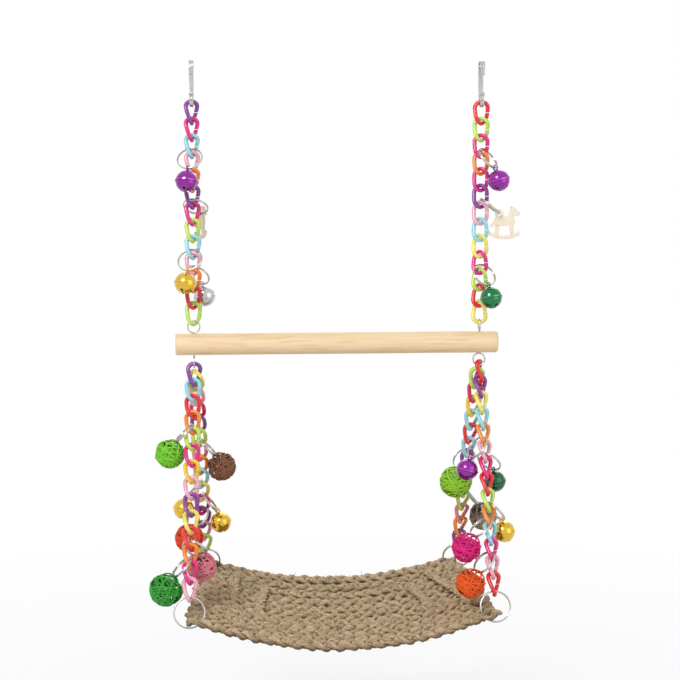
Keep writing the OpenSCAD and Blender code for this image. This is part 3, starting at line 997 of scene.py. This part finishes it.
@dataclass
class Chains:
    """All the chains. The lower ones spread from the common links to the mat's corners."""

    link: LinkPattern = field(default_factory=LinkPattern)
    links: int = 13
    corner_ring: float = 29 * MM
    corner_wire: float = 1.5 * MM
    ring_play: float = 0.35 * MM
    front_span: float = 276 * MM
    back_span: float = 250 * MM
    corner_y: float = 84.6 * MM

    @property
    def ring_radius(self) -> float:
        """Radius of a corner ring, to the middle of its wire."""
        return (self.corner_ring - self.corner_wire) / 2

    @property
    def reach(self) -> float:
        """Length from a lower chain's head down to the foot of its corner ring."""
        chain = 2 * self.link.drop + (self.links - 1) * self.link.pitch
        rise = self.link.stock / 2 + self.ring_play + self.corner_wire / 2
        return chain - rise + 2 * self.ring_radius

    def leans(self, side: str, back: bool) -> tuple[float, float]:
        """Returns a lower chain's leans about X and Y, in degrees.

        Args:
            side: Left or right.
            back: True for the chain to a back corner.

        Returns:
            The leans.
        """
        way = -1 if side == "left" else 1
        eye = abs(pivot("lower_swing_right").x)
        splay = math.asin(((self.back_span if back else self.front_span) / 2 - eye) / self.reach)
        lean = math.asin(self.corner_y / self.reach)
        return (math.degrees(lean if back else -lean), -way * math.degrees(splay))

    def lean(self, side: str, back: bool) -> Matrix:
        """Returns the turn that a lower chain's leans make."""
        about_x, about_y = self.leans(side, back)
        return (turned(about_y, "Y") @ turned(about_x, "X")).to_3x3()

    def seat(self, side: str, back: bool) -> Vector:
        """Returns where a lower chain's head sits in the common link's foot."""
        foot = pivot(f"lower_swing_{side}") - Vector((0, 0, self.link.drop))
        return foot + self.link.stock * Vector(LOWER[side, back][0])

    def ring(self, side: str, back: bool, drop: float) -> Vector:
        """Returns a point on a lower chain's line, at a length below its head."""
        return self.seat(side, back) + self.lean(side, back) @ Vector((0, 0, -drop))

    def runs(self) -> Iterator[Chain]:
        """Yields the chains from the top down, at the joints' places.

        Yields:
            Each chain.
        """
        for side, (turn, step, colours) in UPPER.items():
            head, own = pivot(f"swing_{side}"), f"{colours[0].name.lower()}_plastic"
            link, chain = f"first_link_{side}", f"upper_chain_{side}"
            yield Chain(f"{link}_gloss", f"head_link_{side}", link, head, turn, step, colours[:1], slot=own)
            yield Chain(f"upper_links_{side}", f"upper_{side}", chain, head, turn, step, colours[1:], first=1)
        for side, (turn, dye) in COMMON.items():
            head, own = pivot(f"lower_swing_{side}"), f"{dye.name.lower()}_plastic"
            link = f"common_link_{side}"
            yield Chain(f"{link}_gloss", f"common_{side}", link, head, turn, 0, [dye], slot=own)
        for (side, back), (_, turn, step, colours) in LOWER.items():
            head, leans, end = self.seat(side, back), self.leans(side, back), "back" if back else "front"
            name, node = f"{end}_links_{side}", f"{end}_chain_{side}"
            yield Chain(name, f"lower_{side}", node, head, turn, step, colours, leans)

    def build(self) -> None:
        """Models the link once and hangs every chain from it."""
        pattern = self.link.model()
        for run in self.runs():
            run.build(self.link, pattern)
        bpy.data.objects.remove(pattern)


@dataclass
class Hardware:
    """The clips, gates, pins, eye wires and rings."""

    ease: float = 0.28 * MM
    gate_share: float = 0.6
    weld: float = 0.0005 * MM
    level: float = 1.0
    sharp: float = 35.0

    def softened(self, node: str, body: str, slot: str, finish: Finish, ease: float) -> None:
        """Makes a copy of a CAD node with its sharp edges eased.

        Args:
            node: The CAD node that the copy stands for.
            body: The body that it rides on.
            slot: The record's material slot.
            finish: What it is dressed in.
            ease: How wide the eased edge is.
        """
        piece = copy_of(frame["nodes"][node], f"{node}_eased", Matrix.Identity(4))
        with editing(piece):
            bpy.ops.mesh.remove_doubles(threshold=self.weld)
            bpy.ops.mesh.dissolve_limited(angle_limit=math.radians(self.level))
        angle = math.radians(self.sharp)
        modify(piece, "BEVEL", width=ease, segments=2, limit_method="ANGLE", angle_limit=angle)
        apply_all(piece)
        smooth(piece, self.sharp)
        dress(piece, finish)
        settle(piece, body, slot, node)

    def build(self) -> None:
        """Eases the clips and gates, and plates the rest as it is."""
        for side in ("left", "right"):
            self.softened(f"clip_{side}", "clips", "nickel_steel", NICKEL, self.ease)
            gate = f"gate_{side}"
            self.softened(gate, gate, "nickel_steel", NICKEL, self.ease * self.gate_share)
        for name, node in frame["nodes"].items():
            if name.startswith(("gate_pin", "eye_wire")) or "rings" in name or "pellet" in name:
                dress(node, NICKEL)


@dataclass
class Perch:
    """The pine dowel, whose grain runs along X."""

    def build(self) -> None:
        """Dresses the dowel."""
        dress(frame["nodes"]["perch"], PINE)
        log.info("perch: grained")


@dataclass
class Charms:
    """The two wooden charms, sawn from thin board with eased edges."""

    ease: float = 0.35 * MM

    def build(self, hardware: Hardware) -> None:
        """Eases both charms."""
        for side in ("left", "right"):
            hardware.softened(f"charm_{side}", f"charm_{side}_hung", "pale_wood", BOARD, self.ease)


# The bells' lacquers, by what their names hold; the first that fits is taken.
LACQUERS = {
    "lower_green": Lacquer.DEEP_GREEN,
    "purple": Lacquer.VIOLET,
    "gold": Lacquer.GOLD,
    "silver": Lacquer.SILVER,
    "green": Lacquer.BOTTLE,
}


@dataclass
class Bells:
    """The bells, each lacquered in its colour."""

    def build(self) -> None:
        """Dresses each bell by the colour in its name."""
        for name, node in frame["nodes"].items():
            if "_bell_" in name:
                shade = next(shade for key, shade in LACQUERS.items() if key in name)
                dress(node, BellLacquer(f"lacquer_{shade.name.lower()}", shade))


# The turn from one strand of a ball to the next, in degrees: the golden angle.
GOLDEN_ANGLE = 137.5


@dataclass
class VineBall:
    """A hollow ball wound from thin vine."""

    node: str
    dye: Dye
    slot: str
    seed: int
    strands: int = 24
    loops: int = 10
    thickness: float = 1.3 * MM
    wander: float = 2.4 * MM
    grains: tuple[float, ...] = (8, 11, 14)
    segments: int = 44
    sides: int = 7
    oval: float = 1.15
    over_leans: tuple[float, ...] = (-32.0, 0.0, 34.0)
    widest_tilt: float = 54.0
    least_share: float = 0.03
    uneven_turn: float = 25
    least_size: float = 0.88
    loop_offs: tuple[float, float] = (0.35, 0.86)
    loop_tilt: float = 42
    loop_turn: float = 60
    loop_painted_light: float = 0.8

    def strand(self, radius: float, grain: float) -> Piece:
        """Models one closed strand of vine round the Z axis, a little crooked.

        Args:
            radius: The strand's outside radius.
            grain: Length of its crooked stretches.

        Returns:
            The pattern, at the origin.
        """
        deselect()
        bpy.ops.mesh.primitive_torus_add(
            major_radius=radius - self.thickness / 2,
            minor_radius=self.thickness / 2,
            major_segments=self.segments,
            minor_segments=self.sides,
        )
        strand = bpy.context.object
        with editing(strand):
            bpy.ops.transform.resize(value=(1, 1, self.oval))
        cloud = bpy.data.textures.new(f"wander_{grain:.4f}", "CLOUDS")
        cloud.cloud_type = "COLOR"
        cloud.noise_scale = grain
        ways = {"texture_coords": "LOCAL", "direction": "RGB_TO_XYZ"}
        modify(strand, "DISPLACE", texture=cloud, strength=self.wander, mid_level=0.5, **ways)
        return apply_all(strand)

    def build(self) -> None:
        """Winds the ball: strands over its ring, many round the middle and loops below."""
        low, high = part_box(self.node)
        swing = joint(f"{self.node}_swing")
        radius = max(high - low) / 2
        middle = (low + high) / 2
        top = (Vector(swing["pos_m"]) - middle).normalized()
        ahead = top.cross(Vector(swing["axis"])).normalized()
        axes = Matrix((ahead.cross(top) * -1, ahead, top)).transposed().to_4x4()
        upright = Matrix.Translation(middle) @ axes
        draw = random.Random(self.seed)
        patterns = [self.strand(radius - self.wander / 3, grain * MM) for grain in self.grains]
        parts = []

        def wind(pattern: int, kind: str, place: Matrix, lie: float) -> None:
            """Winds one more strand, with this much painted light on it.

            Args:
                pattern: Which pattern is copied.
                kind: What the strand is called.
                place: Where it goes on the upright ball.
                lie: Its painted light, lower for the strands deeper in the ball, which are painted in shade.
            """
            part = copy_of(patterns[pattern], f"{self.node}_{kind}_{len(parts)}", upright @ place)
            store_painted_light(part, [lie])
            parts.append(part)

        # The strands over the ring are fully lit; those inside get less painted light, so they are painted in
        # shade.
        for lean in self.over_leans:
            wind(-1, "over", turned(lean, "Z") @ turned(90, "X"), 1.0)
        for k in range(self.strands):
            tilt = self.widest_tilt * math.sqrt(draw.uniform(self.least_share, 1.0))
            turn = k * GOLDEN_ANGLE + draw.uniform(-self.uneven_turn, self.uneven_turn)
            size = draw.uniform(self.least_size, 1.0)
            spin = Matrix.Rotation(draw.uniform(0, math.tau), 4, "Z")
            # The smaller a strand, the deeper it sits and the darker its painted shade.
            lie = (size - self.least_size) / (1 - self.least_size)
            place = turned(turn, "Z") @ turned(tilt, "X") @ spin @ Matrix.Scale(size, 4)
            wind(k % len(patterns), "round", place, lie)
        for k in range(self.loops):
            off = draw.uniform(*self.loop_offs)
            tilt = draw.uniform(0, self.loop_tilt)
            spin = Matrix.Rotation(draw.uniform(0, math.tau), 4, "Z")
            down = Matrix.Translation((0, 0, -off * (radius - self.wander / 2)))
            span = math.sqrt(1 - off * off)
            aside = turned(k * GOLDEN_ANGLE + self.loop_turn, "Z") @ turned(tilt, "X")
            place = aside @ down @ spin @ Matrix.Diagonal((span, span, 1, 1))
            wind(k % len(patterns), "loop", place, self.loop_painted_light)
        for pattern in patterns:
            bpy.data.objects.remove(pattern)
        ball = joined(parts, f"{self.node}_wound")
        smooth(ball, 60)
        dress(ball, DyedVine(f"vine_{self.dye.name.lower()}", self.dye))
        settle(ball, f"{self.node}_hung", self.slot, self.node)


# The balls, each by its tint and side, with its dye; the tint also names its slot.
BALLS = (
    ("light_green", "left", Dye.LEAF_GREEN),
    ("brown", "left", Dye.BROWN),
    ("red", "left", Dye.FLAME),
    ("salmon", "left", Dye.SALMON),
    ("mid_green", "left", Dye.GRASS_GREEN),
    ("lime", "right", Dye.SPRING_GREEN),
    ("taupe", "right", Dye.TAUPE),
    ("pink", "right", Dye.CERISE),
    ("orange", "right", Dye.TANGERINE),
)


def vine_balls() -> Iterator[VineBall]:
    """Yields the balls, each with a seed of its own."""
    for seed, (tint, side, dye) in enumerate(BALLS, 1):
        yield VineBall(f"{tint}_ball_{side}", dye, f"{tint}_vine", seed)


@dataclass
class PlaitedMat:
    """The mat: plaited cords laid to and fro over a thin ground, with cross cords and fibres."""

    chains: Chains = field(default_factory=Chains)
    sway: float = 1.6 * MM
    depth: float = 186 * MM
    thickness: float = 7 * MM
    front_sag: float = 24 * MM
    back_sag: float = 16 * MM
    middle_sag: float = 7 * MM
    sag_span: float = 0.88
    rows: int = 11
    row_parts: int = 3
    row_step: float = 2 * MM
    turn_steps: int = 6
    end_room: float = 1.02
    overlap: float = 1.03
    waves: tuple[tuple[float, float, float], ...] = ((0.9 * MM, 70, 2.1), (0.4 * MM, 191, 1.3))
    strand_half_width: float = 3.9 * MM
    strand_half_depth: float = 2.2 * MM
    plait_period: float = 38 * MM
    samples: int = 18
    sides: int = 16
    lobes: int = 4
    widths: tuple[float, float] = (0.9, 1.12)
    drift: float = 0.07
    drift_waves: float = 61
    rise: float = 1.1
    roll: float = 0.5
    # The painted light on the plait's strands: its level, and how much lighter a strand is painted where it
    # passes over and darker where it passes under.
    lies: tuple[float, float] = (0.92, 0.26)
    swell: float = 0.1
    edge_inset: float = 13 * MM
    end_inset: float = 6 * MM
    free_end: float = 5 * MM
    ring_gap: float = 1.3 * MM
    crossing_size: float = 0.7
    crossing_steps: int = 40
    crossing_arch: tuple[float, float] = (0.72, -0.15)
    stray: int = 320
    at_edge: float = 0.6
    ground_wall: float = 1.2 * MM
    ripple: float = 0.4 * MM
    ground_grid: tuple[int, int] = (60, 46)
    ground_map: tuple[float, float] = (28, 60)
    seed: int = 41

    def __post_init__(self) -> None:
        """Finds the feet of the left corner rings, which the mat rests on."""
        chains = self.chains
        self.front = chains.ring("left", False, chains.reach)
        self.back = chains.ring("left", True, chains.reach)
        self.lift = chains.corner_wire / 2 + self.sway + self.thickness / 2
        self.overhang = chains.ring_radius / 2
        middle = chains.reach - chains.ring_radius
        self.rings = [
            (chains.ring(*corner, middle), chains.lean(*corner) @ Vector((0, 1, 0))) for corner in LOWER
        ]
        self.ring_room = chains.corner_wire / 2 + self.strand_half_width + self.ring_gap

    def beside_rings(self, point: Vector) -> Vector:
        """Moves a point of a strand aside where a corner ring's wire passes.

        Args:
            point: The point.

        Returns:
            The point, or its place beside the wire.
        """
        for centre, normal in self.rings:
            off = point - centre
            flat = off - normal * off.dot(normal)
            near = centre + flat.normalized() * self.chains.ring_radius
            gap = point - near
            if gap.length < self.ring_room:
                point = near + gap.normalized() * self.ring_room
        return point

    def share(self, y: float) -> float:
        """Returns how far back a depth lies, from the front rings' feet to the back ones'."""
        return (y - self.front.y) / (self.back.y - self.front.y)

    def half(self, y: float) -> float:
        """Returns half of the mat's width at a depth."""
        return self.overhang - self.front.x - (self.back.x - self.front.x) * self.share(y)

    def height(self, x: float, y: float) -> float:
        """Returns the height of the mat's middle surface at a place.

        Args:
            x: The place across the mat.
            y: The place along its depth.

        Returns:
            The height.
        """
        hold = self.front.z + (self.back.z - self.front.z) * self.share(y)
        sag = self.front_sag + (self.back_sag - self.front_sag) * (y / self.depth + 0.5)
        sag += self.middle_sag * (1 - (2 * y / self.depth) ** 2)
        reach = abs(x) / self.half(y) / self.sag_span
        return hold + self.lift - sag * (1 - min(1.0, reach**2))

    def spot(self, x: float, y: float, up: float = 0.0) -> Vector:
        """Returns a point of the mat at a height over its middle surface."""
        return Vector((x, y, self.height(x, y) + up))

    def row_line(self) -> list[Vector]:
        """Lays one cord to and fro across the mat, turning round at each end.

        Returns:
            Points of its centre line, about a row step apart, on the mat's middle surface.
        """
        gap = self.depth / self.rows
        last = self.rows - 1
        points: list[Vector] = []
        for row in range(self.rows):
            y = -self.depth / 2 + (row + 0.5) * gap
            way = 1 if row % 2 == 0 else -1
            reach = self.half(y) - gap * self.end_room
            begin, finish = (self.half(y) - self.free_end if row == end else reach for end in (0, last))
            count = int((begin + finish) / self.row_step)
            for k in range(count + 1):
                x = way * (-begin + (begin + finish) * k / count)
                wave = sum(size * math.sin(x * pace + row * shift) for size, pace, shift in self.waves)
                points.append(self.spot(x, y + wave))
            for k in range(1, self.turn_steps if row < last else 0):
                a = math.pi * k / self.turn_steps
                x = way * (reach + gap * 0.5 * math.sin(a))
                points.append(self.spot(x, y + gap / 2 * (1 - math.cos(a))))
        return points

    def even(self, line: Sequence[Vector], step: float) -> list[tuple[Vector, float]]:
        """Divides a line into even steps.

        Args:
            line: The line's points.
            step: The length of a step.

        Returns:
            The new points, each with its length along the line.
        """
        run = [0.0]
        for i in range(1, len(line)):
            run.append(run[-1] + (line[i] - line[i - 1]).length)
        total, i = run[-1], 0
        centre: list[tuple[Vector, float]] = []
        for k in range(int(total / step) + 1):
            s = min(k * step, total)
            while i < len(line) - 2 and run[i + 1] < s:
                i += 1
            share = (s - run[i]) / max(run[i + 1] - run[i], 1e-9)
            centre.append((line[i].lerp(line[i + 1], share), s))
        return centre

    def plait(self, line: Sequence[Vector], width: float, spare: float, draw: random.Random) -> list[Tube]:
        """Plaits three strands along a line.

        Args:
            line: The cord's centre line.
            width: The cord's whole width.
            spare: How large the strands are, against a full cord's.
            draw: Where the small unevenness comes from.

        Returns:
            The three strands' tubes.
        """
        period = self.plait_period * spare
        centre = self.even(line, period / self.samples)
        half_w, half_d = self.strand_half_width * spare, self.strand_half_depth * spare
        swing = width / 2 - half_w
        uneven = [draw.uniform(*self.widths) for _ in range(3)]
        tubes = []
        for strand in range(3):
            points, ups, lies = [], [], []
            for k, (point, s) in enumerate(centre):
                after, before = centre[min(k + 1, len(centre) - 1)][0], centre[max(k - 1, 0)][0]
                ahead = (after - before).normalized()
                side = ahead.cross(Vector((0, 0, 1))).normalized()
                up = side.cross(ahead)
                a = math.tau * (s / period + strand / 3)
                drift = 1 + self.drift * math.sin(s * self.drift_waves + strand * 2)
                over = self.rise * half_d * math.sin(2 * a)
                points.append(self.beside_rings(point + side * (swing * drift * math.sin(a)) + up * over))
                # Painted shade: lighter where the strand passes over the others, darker where it passes
                # under.
                lies.append(self.lies[0] + self.lies[1] * math.sin(2 * a))
                roll = self.roll * math.cos(a)
                ups.append(up * math.cos(roll) + side * math.sin(roll))
            start = draw.uniform(0, 3)
            wide = half_w * uneven[strand]
            tubes.append(tube(points, ups, wide, half_d, self.sides, start, self.swell, lies, self.lobes))
        return tubes

    def fibre(self, draw: random.Random) -> Tube:
        """Lets one thin stray fibre stand off the mat's face or edge, where the draw puts it.

        Args:
            draw: Where its place, length and droop come from.

        Returns:
            The fibre's tube.
        """
        if draw.random() < self.at_edge:
            y = draw.choice((-1, 1)) * self.depth / 2 * draw.uniform(0.9, 0.99)
        else:
            y = draw.uniform(-0.45, 0.45) * self.depth
        x = draw.uniform(-0.97, 0.97) * self.half(y)
        start = self.spot(x, y, self.thickness * 0.3 * draw.uniform(-1, 1))
        aside, outward = draw.uniform(-1, 1), math.copysign(draw.uniform(0.1, 0.5), y)
        out = Vector((aside, outward, draw.uniform(0.05, 0.6))).normalized()
        length = draw.uniform(3, 9) * MM
        droop = Vector((draw.uniform(-0.4, 0.4), 0, -draw.uniform(0.2, 0.9))) * 0.6
        shares = (0, 0.25, 0.5, 0.75, 1)
        points = [start + out * (length * t) + droop * (length * t * t) for t in shares]
        return tube(points, [Vector((0, 0, 1))] * len(points), 0.2 * MM, 0.16 * MM, 3)

    def ground(self) -> Piece:
        """Weaves the thin ground under the cords: a grid, shaped to the mat and given a wall.

        Returns:
            The ground, with the map named strand.
        """
        deselect()
        across, along = self.ground_grid
        bpy.ops.mesh.primitive_grid_add(x_subdivisions=across, y_subdivisions=along, size=1.0)
        sheet = bpy.context.object
        sheet.name = "seagrass_ground"
        for vertex in sheet.data.vertices:
            y = vertex.co.y * (self.depth - 2 * self.edge_inset)
            x = 2 * vertex.co.x * (self.half(y) - 2 * self.end_inset)
            ripple = self.ripple * math.sin(vertex.co.y * math.tau * self.rows)
            vertex.co = self.spot(x, y, ripple)
        modify(sheet, "SOLIDIFY", thickness=self.ground_wall, offset=0.0)
        apply_all(sheet)
        layer = sheet.data.uv_layers.get("UVMap")
        layer.name = "strand"
        for item in layer.data:
            item.uv = (item.uv[0] * self.ground_map[0], item.uv[1] * self.ground_map[1])
        # The ground is stored at half painted light, so it is painted in shade under the cords.
        store_painted_light(sheet, [0.5])
        smooth(sheet, 60)
        return sheet

    def crossing(self, ends: Sequence[float], bow: float) -> list[Vector]:
        """Returns the line of a cord that lies over the rows.

        Args:
            ends: Where it begins and ends in X, and where in Y.
            bow: How far it bends aside.

        Returns:
            The line's points.
        """
        x0, x1, y0, y1 = ends
        arch, base = self.crossing_arch
        line = []
        for k in range(self.crossing_steps + 1):
            t = k / self.crossing_steps
            x = x0 + (x1 - x0) * t + bow * math.sin(math.tau * t)
            up = arch * math.sqrt(math.sin(math.pi * t)) + base
            line.append(self.spot(x, y0 + (y1 - y0) * t, self.thickness * up))
        return line

    def build(self) -> None:
        draw = random.Random(self.seed)
        line = self.row_line()
        cord_width = self.depth / self.rows * self.overlap
        size = math.ceil(len(line) / self.row_parts)
        pieces = []
        for k in range(self.row_parts):
            stretch = line[max(0, k * size - 1) : (k + 1) * size]
            pieces.append(tubes_piece(f"plaited_rows_{k + 1}", self.plait(stretch, cord_width, 1.0, draw)))
        crossing = []
        small = self.crossing_size
        for ends in self.cross_cords():
            over = self.crossing(ends, draw.uniform(-2, 2) * MM)
            crossing += self.plait(over, cord_width * small, small, draw)
        pieces.append(tubes_piece("cross_cords", crossing))
        pieces.append(tubes_piece("stray_fibres", [self.fibre(draw) for _ in range(self.stray)]))
        sheet = self.ground()
        dress(sheet, GROUND)
        for piece in pieces:
            dress(piece, SEAGRASS)
            smooth(piece, 60)
            settle(piece, "mat", "seagrass")
        settle(sheet, "mat", "seagrass", "woven_mat")

    def cross_cords(self) -> list[tuple[float, float, float, float]]:
        """Lists the cords that lie over the rows, each from one place to another."""
        near, far = -self.depth * 0.4, self.depth * 0.42
        return [
            (-0.101, -0.094, near * 0.25, far),
            (-0.075, -0.068, near * 0.4, far * 0.8),
            (0.122, 0.091, near * 0.7, far),
            (0.084, 0.076, near * 0.3, far * 0.6),
        ]


@dataclass
class Studio:
    """The floor, the soft lamps and the camera at the photograph's angle."""

    azimuth: float = -4.0
    elevation: float = 7.0
    distance: float = 1.6
    lens: float = 91.0
    aim: tuple[float, float, float] = (0.0025, 0.0, -0.256)
    floor_gap: float = 0.12

    def mixed(self, nodes: Nodes, share: object, plain: bpy.types.Node, seen: bpy.types.Node) -> dict:
        """Mixes two shaders by a share and returns what goes into the output node."""
        inputs = {0: share, 1: plain.outputs[0], 2: seen.outputs[0]}
        return {"Surface": nodes.add("ShaderNodeMixShader", inputs).outputs[0]}

    def floor(self) -> None:
        """Lays a pale floor below the swing, white where the camera sees it, with its shadow."""
        deselect()
        under = CAD_BOUNDS[0][2] - self.floor_gap
        bpy.ops.mesh.primitive_plane_add(size=14, location=(0, 0, under))
        plane = bpy.context.object
        plane.name = "floor"
        made = bpy.data.materials.new("pale_floor")
        nodes = emptied(made)
        matt = nodes.add("ShaderNodeBsdfDiffuse", {"Color": (0.9, 0.9, 0.9, 1)})
        white = nodes.add("ShaderNodeEmission", {"Color": (1, 1, 1, 1), "Strength": 1.0})
        path = nodes.add("ShaderNodeLightPath").outputs
        seen = nodes.math("MAXIMUM", path["Is Camera Ray"], path["Is Glossy Ray"])
        far = nodes.add("ShaderNodeVectorMath", {0: nodes.spot()}, operation="LENGTH").outputs["Value"]
        share = nodes.math("MULTIPLY", seen, nodes.spread(far, 0.8, 1.0, 0.15, 0.9))
        nodes.add("ShaderNodeOutputMaterial", self.mixed(nodes, share, matt, white))
        plane.data.materials.append(made)

    def world(self) -> None:
        """Sets a soft white surround: plain for light, full white where it is seen."""
        world = bpy.data.worlds.new("surround")
        bpy.context.scene.world = world
        nodes = emptied(world)
        path = nodes.add("ShaderNodeLightPath").outputs
        light = nodes.add("ShaderNodeBackground", {"Color": (0.97, 0.98, 1.0, 1), "Strength": 0.42})
        white = nodes.add("ShaderNodeBackground", {"Color": (1, 1, 1, 1), "Strength": 1.0})
        metal = nodes.math("MAXIMUM", path["Is Glossy Ray"], path["Is Transmission Ray"])
        share = nodes.math("MAXIMUM", path["Is Camera Ray"], metal)
        nodes.add("ShaderNodeOutputWorld", self.mixed(nodes, share, light, white))

    def lamp(self, name: str, place: tuple[float, float, float], size: float, power: float) -> None:
        """Hangs a square lamp that faces the swing's middle.

        Args:
            name: The lamp's name.
            place: Where it hangs.
            size: Its side.
            power: Its power in watts.
        """
        light = bpy.data.lights.new(name, "AREA")
        light.size = size
        light.energy = power
        self.aimed(light, Vector(place))

    def aimed(self, data: bpy.types.Light | bpy.types.Camera, place: Vector) -> Piece:
        """Places a lamp or a camera so that it faces the swing's middle, and returns it.

        Args:
            data: The lamp or camera.
            place: Where it stands.

        Returns:
            Its object.
        """
        made = bpy.data.objects.new(data.name, data)
        made.location = place
        made.rotation_euler = (Vector(self.aim) - place).to_track_quat("-Z", "Y").to_euler()
        bpy.context.scene.collection.objects.link(made)
        return made

    def camera(self) -> None:
        """Sets the camera at the photograph's angle, a little above and to the right."""
        around, up = math.radians(self.azimuth), math.radians(self.elevation)
        away = Vector((math.sin(around) * math.cos(up), -math.cos(around) * math.cos(up), math.sin(up)))
        data = bpy.data.cameras.new("studio_camera")
        data.lens = self.lens
        data.sensor_width = 36.0
        bpy.context.scene.camera = self.aimed(data, Vector(self.aim) + away * self.distance)

    def build(self) -> None:
        """Sets up the whole studio."""
        bpy.context.scene.view_settings.view_transform = "Standard"
        self.floor()
        self.world()
        self.lamp("key", (-1.0, -1.6, 1.3), 0.8, 32)
        self.lamp("fill", (1.5, -1.3, 0.2), 1.6, 7)
        self.lamp("back", (0.3, 1.6, 0.9), 1.4, 9)
        self.camera()


def main() -> None:
    """Builds the studio and every sub-assembly, in order."""
    Studio().build()
    chains = Chains()
    chains.build()
    hardware = Hardware()
    hardware.build()
    Perch().build()
    Charms().build(hardware)
    Bells().build()
    for ball in vine_balls():
        ball.build()
    PlaitedMat(chains).build()


if __name__ == "__main__":
    main()
